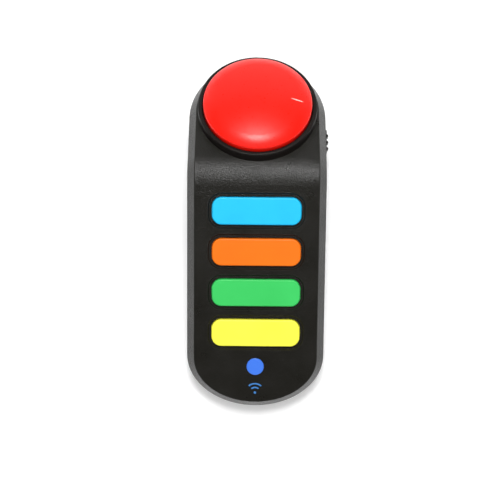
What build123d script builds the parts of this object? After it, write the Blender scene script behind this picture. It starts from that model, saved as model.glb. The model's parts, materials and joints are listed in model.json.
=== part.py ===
"""Hand-held wireless quiz buzzer: a bent two-shell casing with a domed buzzer on its tilted head.

Four answer buttons sit in the sloping handle face, a slide switch in the right wall, and two cells
behind a hinged cover in the underside. Millimetres, +Z up, the feet stand on Z = 0, and +Y points
from the tail to the head.
"""

import os
from math import cos, radians, sin, tan

from build123d import *

# --- Casing: overall sizes ------------------------------------------------------------------------
HALF_WIDTH = 30.0  # at the parting line, the widest place
BEVEL_DEPTH = 5.5  # from the face down to the parting line
BEVEL_INSET = 3.3  # how much narrower each side is at the face
HANDLE_SLOPE = 16.0  # degrees that the handle face falls towards the tail
HEAD_TILT = 20.5  # degrees that the head face falls towards the head end
KNEE_RADIUS = 20.0  # of the face where handle and head meet
KNEE_TO_TAIL = 104.9  # along the handle, from the knee to the tail's outline
KNEE_TO_COLLAR = 4.5  # of face between the knee and the buzzer's collar
TAIL_FLATTENING = 7.0  # how much flatter than a half circle the tail's end is
TAIL_EDGE_DROP = 10.0  # from the top of the cells' bay down to the parting line at the tail
WALL = 2.2
SIDE_WALL = 2.6
BASE_WALL = 2.0
REVEAL = 0.35  # the bottom shell stands in from the top shell's edge
BASE_FILLET = 5.0
FACE_FILLET = 0.45
TONGUE_HEIGHT = 1.0
TONGUE_THICKNESS = 0.8
FIT = 0.1  # clearance of parts that locate in each other
SLIDE_FIT = 0.3  # clearance all round a part that slides

# --- Rubber feet ----------------------------------------------------------------------------------
FOOT_RADIUS = 3.2
FOOT_PROUD = 1.2
FOOT_RECESS = 0.8
FOOT_MARGIN = 1.2  # between a foot and the flat underside's edge
FOOT_FILLET = 0.5
TAIL_FOOT_ANGLE = 50.0  # round the rounded ends, from straight across
HEAD_FOOT_ANGLE = 40.0

# --- Buzzer dome, its collar and its mechanism (heights are over the head face) -------------------
COLLAR_MARGIN = 0.7  # of flat face left outside the collar
COLLAR_WALL = 2.1
COLLAR_HEIGHT = 4.3
COLLAR_DRAFT = 0.15
COLLAR_SEAT = 0.3
COLLAR_EDGE_FILLET = 0.6
SPIGOT_WALL = 0.8
SPIGOT_DEPTH = 4.0
SPIGOT_THICKNESS = 1.4
HOOK_COUNT = 4  # of the snap hooks that hold the collar in the shell
HOOK_WIDTH = 5.0
HOOK_REACH = 0.5
HOOK_HEIGHT = 1.2
HOOK_ROOT = 1.6  # across a hook, most of it inside the spigot's wall
LEDGE_TOP = -1.2
LEDGE_THICKNESS = 1.2
LEDGE_WIDTH = 3.8
DOME_GAP = 0.3
DOME_EDGE = 6.1  # height of the dome's edge over the head face
DOME_RISE = 5.0  # from that edge to the crown
DOME_SHOULDER = 5.0  # width of the rounder shoulder inside that edge
DOME_SHOULDER_RISE = 2.6
DOME_WALL = 1.9
DOME_EDGE_FILLET = 1.0
DOME_TRAVEL = 2.0
STEM_RADIUS = 3.2
STEM_SOCKET_WALL = 1.5
STEM_SOCKET_DEPTH = 4.0
STEM_END_GAP = 0.5
DIFFUSER_HEIGHT = 3.0  # of the plunger's disc, which spreads the lamps' light
DIFFUSER_THICKNESS = 1.2
CHASSIS_TOP = -9.0
CHASSIS_THICKNESS = 1.5
BOSS_RADIUS = 2.3
SPRING_RADIUS = 2.0
SPRING_WIRE = 0.7
SPRING_HEIGHT = 8.0
SPRING_TURNS = 6
SPRING_POST = 1.6  # height of the posts that centre the springs
LEG_THICKNESS = 1.5
LEG_WIDTH = 5.0
LEG_ROOM = 1.0  # in the chassis window, for a leg to bend inwards
CLAW_HEIGHT = 1.1
CLAW_REACH = 1.4
CLAW_LEAD_IN = 1.6
CHASSIS_SCREW_LENGTH = 6.0
LAMP_RADIUS = 1.5
LAMP_HEIGHT = 2.2
LAMP_COUNT = 6
LAMP_CIRCLE = 7.8
HEAD_BOARD_RADIUS = 12.5
HEAD_BOARD_RIM = 1.9  # from the board's edge to the middle of its screws
HEAD_BOARD_SCREW_LENGTH = 3.6
CONTACT_SPARE = 0.5  # height of the rubber contact beyond the dome's travel
TOUCH_GAP = 0.05  # between parts that rest a hair apart

# --- Answer buttons and keypad --------------------------------------------------------------------
BUTTON_NAMES = ("blue", "orange", "green", "yellow")
BUTTON_LENGTH = 38.0
BUTTON_WIDTH = 11.8
BUTTON_CORNER = 4.1
BUTTON_PROUD = 1.0
BUTTON_FILLET = 0.7
BUTTON_TRAVEL = 1.0
BUTTON_GAP = 5.9  # of face between two buttons
BUTTON_WALL = 1.8
FIRST_BUTTON = 17.5  # from the knee to the first button's middle
FLANGE_REACH = 1.2
FLANGE_THICKNESS = 1.0
RECESS_BORDER = 1.85
RECESS_SLOPE = 0.6
RECESS_DEPTH = 0.7
KEY_HEIGHT = 2.3
SHEET_THICKNESS = 1.0
PILL_RADIUS = 2.2
PILL_THICKNESS = 0.5
KEY_SIDE_MARGIN = 2.9  # of a rubber key's top inside the button above it
KEY_END_MARGIN = 3.0
KEY_WALL = 0.7
POST_X = 10.5  # of the two posts under each button, each over a contact pill
BUTTON_POST_RADIUS = 2.4
LENS_RADIUS = 3.75
LENS_PROUD = 0.5
LENS_FLANGE = 1.0
LENS_FROM_BUTTON = 15.1  # from the last button's middle
BOARD_TOP = -7.3
BOARD_THICKNESS = 1.6
BOARD_EDGE = 2.8  # of board outside its bosses
BOARD_HEAD_END = 7.5  # from the knee
BOARD_BEYOND_LENS = 7.3
BOARD_BOSS_RADIUS = 1.7
BOARD_SCREW_LENGTH = 5.5
CHIP_SIZE = 9.0
CHIP_HEIGHT = 1.4
CHIP_SPOT = (-8.0, -31.0)
PIN_PITCH = 1.27
RADIO_SIZE = (20.0, 14.0)
RADIO_SPOT = (0.0, -66.0)
RADIO_THICKNESS = 1.0
SHIELD_SIZE = (13.0, 11.6)
SHIELD_HEIGHT = 2.2
CAPACITOR_RADIUS = 3.1
CAPACITOR_HEIGHT = 6.4
CAPACITOR_SPOT = (9.0, -84.0)
PLUG_SIZE = (12.0, 5.0)
PLUG_HEIGHT = 3.5
HEAD_PLUG_Y = -4.0
MAIN_PLUG_Y = -14.0
RIBBON_WIDTH = 10.0
RIBBON_THICKNESS = 0.8

# --- Power switch ---------------------------------------------------------------------------------
KNOB_LENGTH = 11.6
KNOB_HEIGHT = 4.6
KNOB_PROUD = 1.9  # of its ribs beyond the casing's widest place
KNOB_PLATE_PROUD = 1.2
KNOB_TRAVEL = 3.5
KNOB_FROM_AXIS = 10.7  # level distance from the middle of the head face, towards the tail
KNOB_DROP = 15.5  # straight down from the middle of the head face
KNOB_RECESS = 0.9
NECK_LENGTH = 4.0
NECK_HEIGHT = 2.4
RIB_PITCH = 2.9
RIB_WIDTH = 1.6
RIB_TAPER = 25.0
SWITCH_LENGTH = 11.0
SWITCH_HEIGHT = 4.4
SWITCH_DEPTH = 4.4
SWITCH_GAP = 2.0  # from the switch body to the casing's wall
SWITCH_BOARD_END = 2.0  # of board beyond each end of the body
SWITCH_RIB_THICKNESS = 1.8
SWITCH_RIB_LIP = 1.0
LEAD_MARGIN = 1.6  # of main board outside the switch's leads
LEAD_RISE = 6.0  # of the leads over the switch, on their way to the board
SLIDER_SIZE = 1.6
SLIDER_REACH = 2.3  # of the slider out of the switch body, into the knob's neck
SOLDER_RADIUS = 0.8

# --- Cells, their bay and its cover ---------------------------------------------------------------
CELL_RADIUS = 7.25
CELL_LENGTH = 50.5
CELL_GAP = 0.5  # between the cells, and between them and the cover
CELL_SIDE_GAP = 0.3
CELL_TOP_GAP = 0.7
CELL_SPRING_LENGTH = 5.7
CELL_SPRING_TURNS = 4
NUB_RADIUS = 2.75
NUB_HEIGHT = 1.2
BAY_HEAD_END = 9.0  # beyond the knee, towards the head
BAY_WALL = 1.6
COVER_THICKNESS = 2.0
COVER_SEAT = 0.8  # how far the bay's walls reach over the cover's edges
COVER_GAP = 0.15
HINGE_TAB_WIDTH = 4.0
HINGE_TAB_REACH = 2.2  # beyond the bay's wall, inside the casing
HINGE_TAB_THICKNESS = 1.1
HINGE_WINDOW_HEIGHT = 3.4  # lets the tabs swing up as the cover opens
LATCH_WIDTH = 13.0
LATCH_REACH = 5.5  # of the opening beyond the bay, for the latch
LATCH_HEIGHT = 6.0
LATCH_THICKNESS = 1.0
LATCH_ROOT_GAP = 1.9
LATCH_NOSE = 0.85  # from the latch's outer leg to the middle of its catch
SCOOP_LENGTH = 3.5
SCOOP_DEPTH = 0.9
SCOOP_HALF = 5.0
GRIP_HALF = 6.0
GRIP_WIDTH = 0.8
GRIP_DEPTH = 0.5
GRIP_PITCH = 2.0
PLATE_HALF = 5.4
PLATE_THICKNESS = 0.4
TAB_HALF = 1.2
TAB_RISE = 4.0
WIRE_RADIUS = 0.6

# --- Fasteners ------------------------------------------------------------------------------------
POST_RADIUS = 3.0
POST_GAP = 2.0  # between a screw post and the cavity's side
POST_CLEARANCE = 0.3  # between a screw post and the last button's flange
HEAD_SCREW_SPOT = 2.0  # along the handle from the knee
CASE_SCREW_LENGTH = 9.0
CASE_SCREW_RADIUS = 1.25
CASE_SCREW_HEAD = 2.4
COUNTERBORE_RADIUS = 2.6
POST_JOINT = 8.5  # straight down from the face to where the shells' posts meet
POST_SEAT = 4.0  # from there down to the seat of the screw's head
SMALL_SCREW_RADIUS = 0.9
SMALL_SCREW_HEAD = 1.7

# --- Derived places -------------------------------------------------------------------------------
BASE_Z = FOOT_PROUD
COVER_Z = BASE_Z + COVER_THICKNESS
CELL_Z = COVER_Z + CELL_GAP + CELL_RADIUS
BAY_TOP = CELL_Z + CELL_RADIUS + CELL_TOP_GAP
TUB_TOP = BAY_TOP + BAY_WALL
TAIL_EDGE_HEIGHT = TUB_TOP - TAIL_EDGE_DROP
MIDDLE_X = -KNOB_PROUD / 2  # the casing's plane of symmetry, with the origin under the box's middle
BEVEL_RATIO = BEVEL_INSET / BEVEL_DEPTH
BEND = HANDLE_SLOPE + HEAD_TILT
TAIL_FALL, TAIL_RUN = sin(radians(HANDLE_SLOPE)), cos(radians(HANDLE_SLOPE))
HEAD_FALL, HEAD_RUN = sin(radians(HEAD_TILT)), cos(radians(HEAD_TILT))
COLLAR_RADIUS = HALF_WIDTH - BEVEL_INSET - COLLAR_MARGIN
KNEE_TO_AXIS = COLLAR_RADIUS + KNEE_TO_COLLAR
TAIL_REACH = KNEE_TO_TAIL * TAIL_RUN - BEVEL_DEPTH * TAIL_FALL
HEAD_REACH = (KNEE_TO_AXIS + HALF_WIDTH) * HEAD_RUN - BEVEL_DEPTH * HEAD_FALL
KNEE_Y = (TAIL_REACH - HEAD_REACH) / 2
KNEE_Z = TAIL_EDGE_HEIGHT + KNEE_TO_TAIL * TAIL_FALL + BEVEL_DEPTH * TAIL_RUN
TAIL_CENTRE = KNEE_TO_TAIL - (HALF_WIDTH - TAIL_FLATTENING)  # of the tail's half ellipse, from the knee
KNEE_TANGENT = KNEE_RADIUS * tan(radians(BEND / 2))
FLOOR_Z = BASE_Z + BASE_WALL
SHELL_HALF = HALF_WIDTH - REVEAL
CAVITY_HALF = HALF_WIDTH - SIDE_WALL
TONGUE_HALF = CAVITY_HALF + TONGUE_THICKNESS

COLLAR_BORE = COLLAR_RADIUS - COLLAR_WALL
SPIGOT_RADIUS = COLLAR_BORE + SPIGOT_WALL
LEDGE_RADIUS = SPIGOT_RADIUS - LEDGE_WIDTH
DOME_RADIUS = COLLAR_BORE - DOME_GAP
DOME_CROWN = DOME_EDGE + DOME_RISE
DOME_CEILING = DOME_CROWN - DOME_WALL
SKIRT_BOTTOM = LEDGE_TOP + DOME_TRAVEL + 0.4
LEG_RADIUS = LEDGE_RADIUS - 0.7
BOSS_CIRCLE = LEDGE_RADIUS + 0.4
CHASSIS_RADIUS = SPIGOT_RADIUS - 0.9
CHASSIS_BOTTOM = CHASSIS_TOP - CHASSIS_THICKNESS
SPRING_CIRCLE = LEDGE_RADIUS - 4.5
SPRING_TOP = CHASSIS_TOP + SPRING_HEIGHT
HEAD_BOARD_TOP = CHASSIS_TOP + BOARD_THICKNESS
CONTACT_HEIGHT = DOME_TRAVEL + CONTACT_SPARE
STEM_BOTTOM = HEAD_BOARD_TOP + CONTACT_HEIGHT + TOUCH_GAP
HEAD_SCREW_CIRCLE = HEAD_BOARD_RADIUS - HEAD_BOARD_RIM

FLANGE_TOP = -WALL - TOUCH_GAP
FLANGE_BOTTOM = FLANGE_TOP - FLANGE_THICKNESS
KEY_TOP = BOARD_TOP + BUTTON_TRAVEL + PILL_THICKNESS + KEY_HEIGHT
KEY_CEILING = KEY_TOP - KEY_HEIGHT
BOARD_BOTTOM = BOARD_TOP - BOARD_THICKNESS
BUTTON_PITCH = BUTTON_WIDTH + BUTTON_GAP
BUTTON_PLACES = [-(FIRST_BUTTON + i * BUTTON_PITCH) for i in range(len(BUTTON_NAMES))]
KNEE_TO_LENS = LENS_FROM_BUTTON - BUTTON_PLACES[-1]
BOARD_BOSS_X = BUTTON_LENGTH / 2 + 0.2
BOARD_HALF = BOARD_BOSS_X + BOARD_EDGE
BOARD_TAIL_END = KNEE_TO_LENS + BOARD_BEYOND_LENS
BOARD_BOSSES = [
    (s * BOARD_BOSS_X, BUTTON_PLACES[i] - BUTTON_PITCH / 2) for s in (-1, 1) for i in (0, 2)
]
TAIL_SCREW_SPOT = (
    BUTTON_WIDTH / 2 + FLANGE_REACH + POST_CLEARANCE + POST_RADIUS - BUTTON_PLACES[-1]
)

CELL_PITCH = 2 * CELL_RADIUS + CELL_GAP
BAY_LENGTH = CELL_LENGTH + CELL_SPRING_LENGTH + 2 * PLATE_THICKNESS
BAY_HALF = CELL_PITCH / 2 + CELL_RADIUS + CELL_SIDE_GAP
BAY_HEAD_Y = KNEE_Y + BAY_HEAD_END
BAY_TAIL_Y = BAY_HEAD_Y - BAY_LENGTH
TUB_TAIL_Y = BAY_TAIL_Y - BAY_WALL
TUB_HEAD_Y = BAY_HEAD_Y + BAY_WALL
LATCH_TAIL_Y = TUB_TAIL_Y - LATCH_REACH
OPENING_HALF = BAY_HALF + COVER_SEAT
OPENING_TAIL_Y = BAY_TAIL_Y - COVER_SEAT
HINGE_Y = BAY_HEAD_Y - COVER_GAP
HINGE_TAB_X = BAY_HALF - HINGE_TAB_WIDTH / 2 - 0.1
CASE_SCREW_X = CAVITY_HALF - POST_GAP - POST_RADIUS
SWITCH_X = CAVITY_HALF - SWITCH_GAP  # of the switch body's face towards the wall
SWITCH_BOARD_X = SWITCH_X - SWITCH_DEPTH
SWITCH_BOARD_BACK = SWITCH_BOARD_X - BOARD_THICKNESS
SWITCH_BOARD_LENGTH = SWITCH_LENGTH + 2 * SWITCH_BOARD_END
PILOT_GAP = 0.02

knee = Plane(origin=(MIDDLE_X, KNEE_Y, KNEE_Z))
handle = Plane(origin=knee.origin, x_dir=(1, 0, 0), z_dir=(0, -TAIL_FALL, TAIL_RUN))
head_start = Plane(origin=knee.origin, x_dir=(1, 0, 0), z_dir=(0, HEAD_FALL, HEAD_RUN))
head = Plane(
    origin=head_start.from_local_coords((0, KNEE_TO_AXIS, 0)), x_dir=(1, 0, 0), z_dir=head_start.z_dir
)
head_section = Plane(origin=head.origin, x_dir=(1, 0, 0), z_dir=-head.y_dir)
head_axis = Axis(head.origin, head.z_dir)
handle_up = Axis(handle.origin, handle.z_dir)
switch_side = Plane(
    origin=head.origin - Vector(0, KNOB_FROM_AXIS, KNOB_DROP), x_dir=(0, 1, 0), z_dir=(1, 0, 0)
)
side = Plane(origin=(MIDDLE_X, 0, 0), x_dir=(0, 1, 0), z_dir=(1, 0, 0))
ground = Plane(origin=(MIDDLE_X, 0, 0))
LEFT_AND_RIGHT = (-1, 1)


def beveled_half(height, inset=0.0):
    """The casing's half width at a height over its face, less an inset."""
    return HALF_WIDTH - BEVEL_INSET - height * BEVEL_RATIO - inset


def dome_solid(depth, radius, bottom):
    """All that lies so deep under the dome's cap, out to a radius and down to a height."""
    with BuildPart() as solid:
        with BuildSketch(head_section):
            with BuildLine():
                crown = TangentArc(
                    (0, DOME_CROWN - depth),
                    (DOME_RADIUS - DOME_SHOULDER, DOME_EDGE + DOME_SHOULDER_RISE - depth),
                    tangent=(1, 0),
                )
                shoulder = TangentArc(crown @ 1, (DOME_RADIUS, DOME_EDGE - depth), tangent=crown % 1)
                Polyline(shoulder @ 1, (DOME_RADIUS, bottom), (0, bottom), crown @ 0)
            make_face()
            Rectangle(2 * radius, 4 * DOME_RADIUS, mode=Mode.INTERSECT)
        revolve(axis=head_axis)
    return solid.part


def bent_slab(low, high, half_low, half_high):
    """A slab that follows the casing's face over handle, knee and head, between two heights.

    half_low and half_high are its half widths at those heights, and its ends follow the casing's ends.
    """
    with BuildPart() as slab:
        for height, half in ((low, half_low), (high, half_high)):
            with BuildSketch(handle.offset(height)):
                with BuildLine():
                    tail = EllipticalCenterArc(
                        (0, -TAIL_CENTRE), half, half - TAIL_FLATTENING, 180, arc_size=180
                    )
                    Polyline(tail @ 0, (-half, -KNEE_TANGENT), (half, -KNEE_TANGENT), tail @ 1)
                make_face()
        loft(ruled=True)
        for height, half in ((low, half_low), (high, half_high)):
            with BuildSketch(head.offset(height)):
                with BuildLine():
                    end = CenterArc((0, 0), half, 0, 180)
                    start = KNEE_TANGENT - KNEE_TO_AXIS
                    Polyline(end @ 0, (half, start), (-half, start), end @ 1)
                make_face()
        loft(ruled=True)
        start = head_start.from_local_coords((0, KNEE_TANGENT, 0))
        with BuildSketch(Plane(origin=start, x_dir=(1, 0, 0), z_dir=-head_start.y_dir)):
            with BuildLine():
                Polyline(
                    (-half_low, low), (half_low, low), (half_high, high), (-half_high, high), close=True
                )
            make_face()
        revolve(axis=Axis(start - head_start.z_dir * KNEE_RADIUS, (1, 0, 0)), revolution_arc=BEND)
    return slab.part


def plan_prism(bottom, half, edge_fillet):
    """The casing's outline seen from above, standing on a level plane, with a rounded lower edge."""
    tail_y = handle.from_local_coords((0, -TAIL_CENTRE, -BEVEL_DEPTH)).Y
    head_y = head.from_local_coords((0, 0, -BEVEL_DEPTH)).Y
    with BuildPart() as prism:
        with BuildSketch(ground.offset(bottom)):
            with BuildLine():
                tail_depth = (half - TAIL_FLATTENING) * TAIL_RUN
                tail = EllipticalCenterArc((0, tail_y), half, tail_depth, 180, arc_size=180)
                end = EllipticalCenterArc((0, head_y), half, half * HEAD_RUN, 0, arc_size=180)
                Line(tail @ 1, end @ 0)
                Line(end @ 1, tail @ 0)
            make_face()
        extrude(amount=KNEE_Z)
        fillet(prism.edges().group_by(Axis.Z)[0], edge_fillet)
    return prism.part


def below_face(height):
    """Everything under the bent surface that lies at this height over the casing's face."""
    middle = Vector(0, HEAD_FALL - TAIL_FALL, HEAD_RUN + TAIL_RUN).normalized()
    corner = knee.origin + middle * (height / cos(radians(BEND / 2)))
    tail = corner - handle.y_dir * 2 * KNEE_TO_TAIL
    tip = corner + head.y_dir * 2 * KNEE_TO_TAIL
    low = -4 * KNEE_TO_TAIL
    with BuildPart() as region:
        with BuildSketch(side):
            with BuildLine():
                top = FilletPolyline(
                    (tail.Y, tail.Z), (corner.Y, corner.Z), (tip.Y, tip.Z), radius=KNEE_RADIUS + height
                )
                Polyline(top @ 1, (tip.Y, low), (tail.Y, low), top @ 0)
            make_face()
        extrude(amount=2 * HALF_WIDTH, both=True)
    return region.part


def box(x_range, y_range, z_range):
    """A box between two corners, with X measured from the casing's plane of symmetry."""
    with BuildPart() as solid:
        with Locations(
            (MIDDLE_X + sum(x_range) / 2, sum(y_range) / 2, sum(z_range) / 2),
        ):
            Box(x_range[1] - x_range[0], y_range[1] - y_range[0], z_range[1] - z_range[0])
    return solid.part


def tile(plane, centre, size, low, high, corner=0.0):
    """A block with a rectangular outline on a plane, from one height over it to another."""
    with BuildPart() as block:
        with BuildSketch(plane.offset(low)):
            with Locations(centre):
                if corner:
                    RectangleRounded(*size, corner)
                else:
                    Rectangle(*size)
        extrude(amount=high - low)
    return block.part


def discs(plane, spots, radius, low, high):
    """Round rods that stand on a plane, from one height over it to another."""
    with BuildPart() as rods:
        with BuildSketch(plane.offset(low)):
            with Locations(*spots):
                Circle(radius)
        extrude(amount=high - low)
    return rods.part


def ring_spots(radius, first_angle, count=3):
    """Points spaced evenly on a circle about a plane's origin."""
    angles = [radians(first_angle + i * 360 / count) for i in range(count)]
    return [(radius * cos(a), radius * sin(a)) for a in angles]


def pan_screw(length, radius, head_radius):
    """A pan-head screw along +Z, with the seat of its head at the origin and a cross recess."""
    head_height = head_radius * 0.65
    with BuildPart() as screw:
        with BuildSketch(Plane.XY):
            Circle(head_radius)
        extrude(amount=-head_height)
        fillet(screw.edges().group_by(Axis.Z)[0], head_height * 0.55)
        with BuildSketch(Plane.XY):
            Circle(radius)
        extrude(amount=length)
        chamfer(screw.edges().group_by(Axis.Z)[-1], radius * 0.4)
        with BuildSketch(Plane.XY.offset(-head_height)):
            Rectangle(head_radius * 1.2, head_radius * 0.26)
            Rectangle(head_radius * 0.26, head_radius * 1.2)
        extrude(amount=head_height * 0.6, mode=Mode.SUBTRACT)
    return screw.part


def coil(radius, wire, height, turns):
    """A helical wire standing on the XY plane."""
    with BuildPart() as spring:
        with BuildLine():
            path = Helix(pitch=(height - wire) / turns, height=height - wire, radius=radius)
        with BuildSketch(Plane(origin=path @ 0, z_dir=path % 0)):
            Circle(wire / 2)
        sweep(path=path)
    return spring.part.moved(Location((0, 0, wire / 2)))


def wire(x, points, bend):
    """A round lead through points in a plane across X, with rounded bends."""
    with BuildPart() as lead:
        with BuildLine(side.offset(x)):
            path = FilletPolyline(*[(p.Y, p.Z) for p in points], radius=bend)
        with BuildSketch(Plane(origin=path @ 0, z_dir=path % 0)):
            Circle(WIRE_RADIUS)
        sweep(path=path)
    return lead.part


def gather(*pieces):
    """One node that holds several separate solids."""
    with BuildPart() as group:
        for piece in pieces:
            add(piece)
    return group


def placed(piece, plane):
    """A copy of a piece that was drawn on the XY plane, moved onto another plane."""
    return piece.moved(plane.location)


def standing(plane, x, y, height=0.0):
    """A plane parallel to another, with its origin at a point on or over it."""
    origin = plane.from_local_coords((x, y, height))
    return Plane(origin=origin, x_dir=(1, 0, 0), z_dir=plane.z_dir)


def finish(name, label):
    """Labels a finished piece and writes it as parts/LABEL.step."""
    name.part.label = label
    export_step(name.part, f"parts/{label}.step")


os.makedirs("parts", exist_ok=True)

# --- Screw spots, shared by both shells -----------------------------------------------------------
case_screw_spots = [
    handle.from_local_coords((s * CASE_SCREW_X, -along, 0))
    for s in LEFT_AND_RIGHT
    for along in (HEAD_SCREW_SPOT, TAIL_SCREW_SPOT)
]


def posts(radius, from_face, to_face):
    """Upright rods at the case screws, between two depths straight below the face."""
    with BuildPart() as rods:
        for spot in case_screw_spots:
            with BuildSketch(Plane(origin=(spot.X, spot.Y, spot.Z - from_face))):
                Circle(radius)
            extrude(amount=from_face - to_face)
    return rods.part


# --- Top shell ------------------------------------------------------------------------------------
bevel_outside = bent_slab(-BEVEL_DEPTH, 0, HALF_WIDTH, beveled_half(0))
below_bevel = -BEVEL_DEPTH - 1
bevel_inside = bent_slab(
    below_bevel, -WALL, beveled_half(below_bevel, SIDE_WALL), beveled_half(-WALL, SIDE_WALL)
)
groove = bent_slab(
    below_bevel, -BEVEL_DEPTH + TONGUE_HEIGHT + FIT, TONGUE_HALF + FIT, TONGUE_HALF + FIT
)
under_wall = below_face(-WALL / 2)
top_post_rods = posts(POST_RADIUS, POST_JOINT, 0)
pilot_top = POST_JOINT + POST_SEAT - CASE_SCREW_LENGTH - SLIDE_FIT
pilot_holes = posts(CASE_SCREW_RADIUS + PILOT_GAP, POST_JOINT, pilot_top)
board_boss_rods = discs(handle, BOARD_BOSSES, BOARD_BOSS_RADIUS, BOARD_TOP, -WALL / 2)
board_boss_holes = discs(handle, BOARD_BOSSES, SMALL_SCREW_RADIUS + PILOT_GAP, BOARD_TOP, -WALL)

with BuildPart() as top_posts:
    add(top_post_rods)
    add(under_wall, mode=Mode.INTERSECT)

with BuildPart() as top_shell:
    add(bevel_outside)
    face_parts = top_shell.faces().filter_by(lambda f: f.normal_at().Z > 0.9)
    face_lines = face_parts.edges().filter_by(GeomType.LINE)
    seams = face_lines.filter_by(lambda e: abs(e.tangent_at().X) > 0.9)
    fillet(face_parts.edges() - seams, FACE_FILLET)
    add(bevel_inside, mode=Mode.SUBTRACT)
    add(groove, mode=Mode.SUBTRACT)
    add(top_posts.part)
    add(board_boss_rods)
    add(pilot_holes, mode=Mode.SUBTRACT)
    add(board_boss_holes, mode=Mode.SUBTRACT)
    with BuildSketch(head.offset(-COLLAR_SEAT)):
        Circle(COLLAR_RADIUS + FIT)
    extrude(amount=2, mode=Mode.SUBTRACT)
    with BuildSketch(head.offset(-WALL - 1.5)):
        Circle(SPIGOT_RADIUS + FIT)
    extrude(amount=WALL + 2, mode=Mode.SUBTRACT)
    for place in BUTTON_PLACES:
        for depth, shrink in ((0, 0), (-RECESS_DEPTH, RECESS_SLOPE)):
            with BuildSketch(handle.offset(depth)):
                with Locations((0, place)):
                    grow = 2 * (RECESS_BORDER - shrink)
                    RectangleRounded(
                        BUTTON_LENGTH + grow, BUTTON_WIDTH + grow, BUTTON_CORNER + grow / 2
                    )
        loft(mode=Mode.SUBTRACT)
        with BuildSketch(handle):
            with Locations((0, place)):
                RectangleRounded(
                    BUTTON_LENGTH + 2 * SLIDE_FIT,
                    BUTTON_WIDTH + 2 * SLIDE_FIT,
                    BUTTON_CORNER + SLIDE_FIT,
                )
        extrude(amount=-WALL - 0.5, mode=Mode.SUBTRACT)
    with BuildSketch(handle):
        with Locations((0, -KNEE_TO_LENS)):
            Circle(LENS_RADIUS + FIT)
    extrude(amount=-WALL - 0.5, mode=Mode.SUBTRACT)
finish(top_shell, "top_shell")

# --- Bottom shell ---------------------------------------------------------------------------------
flat_half = SHELL_HALF - BASE_FILLET
tail_middle = handle.from_local_coords((0, -TAIL_CENTRE, -BEVEL_DEPTH))
head_middle = head.from_local_coords((0, 0, -BEVEL_DEPTH))
foot_reach = FOOT_RADIUS + FOOT_MARGIN
foot_circle = flat_half - foot_reach
tail_angle, head_angle = radians(TAIL_FOOT_ANGLE), radians(HEAD_FOOT_ANGLE)
tail_foot = (foot_circle * cos(tail_angle), (foot_circle - TAIL_FLATTENING) * sin(tail_angle))
head_foot = (foot_circle * cos(head_angle), foot_circle * HEAD_RUN * sin(head_angle))
foot_spots = [(s * tail_foot[0], tail_middle.Y - tail_foot[1]) for s in LEFT_AND_RIGHT]
foot_spots += [(s * head_foot[0], head_middle.Y + head_foot[1]) for s in LEFT_AND_RIGHT]

base_body = plan_prism(BASE_Z, SHELL_HALF, BASE_FILLET)
base_cavity = plan_prism(FLOOR_Z, CAVITY_HALF, BASE_FILLET - BASE_WALL)
under_parting = below_face(-BEVEL_DEPTH)
tongue_low, tongue_high = -BEVEL_DEPTH - 0.6, -BEVEL_DEPTH + TONGUE_HEIGHT
tongue_outside = bent_slab(tongue_low, tongue_high, TONGUE_HALF, TONGUE_HALF)
tongue_inside = bent_slab(tongue_low - 1, tongue_high + 1, CAVITY_HALF, CAVITY_HALF)
tub_outside = box(
    (-BAY_HALF - BAY_WALL, BAY_HALF + BAY_WALL),
    (TUB_TAIL_Y, TUB_HEAD_Y),
    (BASE_Z + BASE_WALL / 4, TUB_TOP),
)
tub_inside = box((-BAY_HALF, BAY_HALF), (BAY_TAIL_Y, BAY_HEAD_Y), (BASE_Z, BAY_TOP))
opening = box((-OPENING_HALF, OPENING_HALF), (OPENING_TAIL_Y, BAY_HEAD_Y), (BASE_Z - 1, COVER_Z))
opening_half = LATCH_WIDTH / 2 + SLIDE_FIT
latch_opening = box(
    (-opening_half, opening_half), (LATCH_TAIL_Y, OPENING_TAIL_Y + 1), (BASE_Z - 1, FLOOR_Z + 1)
)
finger_scoop = box(
    (-SCOOP_HALF, SCOOP_HALF),
    (LATCH_TAIL_Y - SCOOP_LENGTH, LATCH_TAIL_Y),
    (BASE_Z - 1, BASE_Z + SCOOP_DEPTH),
)
tab_window = HINGE_TAB_WIDTH / 2 + SLIDE_FIT
hinge_windows = [
    box(
        (s * HINGE_TAB_X - tab_window, s * HINGE_TAB_X + tab_window),
        (BAY_HEAD_Y - 1, TUB_HEAD_Y + 1),
        (FLOOR_Z, FLOOR_Z + HINGE_WINDOW_HEIGHT),
    )
    for s in LEFT_AND_RIGHT
]
slot_half = TAB_HALF + FIT
tab_slots = [
    box(
        (s * CELL_PITCH / 2 - slot_half, s * CELL_PITCH / 2 + slot_half),
        (BAY_HEAD_Y - PLATE_THICKNESS - FIT, BAY_HEAD_Y),
        (BAY_TOP - 1, BAY_TOP + TAB_RISE),
    )
    for s in LEFT_AND_RIGHT
]
bottom_post_rods = posts(POST_RADIUS, KNEE_Z, POST_JOINT)
counterbores = posts(COUNTERBORE_RADIUS, KNEE_Z + 10, POST_JOINT + POST_SEAT)
clearance_holes = posts(CASE_SCREW_RADIUS + FIT, POST_JOINT + POST_SEAT, POST_JOINT)
recess_centre = (KNOB_TRAVEL / 2, 0)
knob_recess = tile(
    switch_side.offset(SHELL_HALF - KNOB_RECESS),
    recess_centre,
    (KNOB_LENGTH + KNOB_TRAVEL + 2 * SLIDE_FIT, KNOB_HEIGHT + 2 * SLIDE_FIT),
    0,
    2,
    KNOB_HEIGHT / 4,
)
knob_slot = tile(
    switch_side.offset(CAVITY_HALF - 1),
    recess_centre,
    (NECK_LENGTH + KNOB_TRAVEL + 2 * SLIDE_FIT, NECK_HEIGHT + 2 * SLIDE_FIT),
    0,
    SIDE_WALL + 1,
)
rib_back = SWITCH_BOARD_BACK - SWITCH_RIB_LIP
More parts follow.
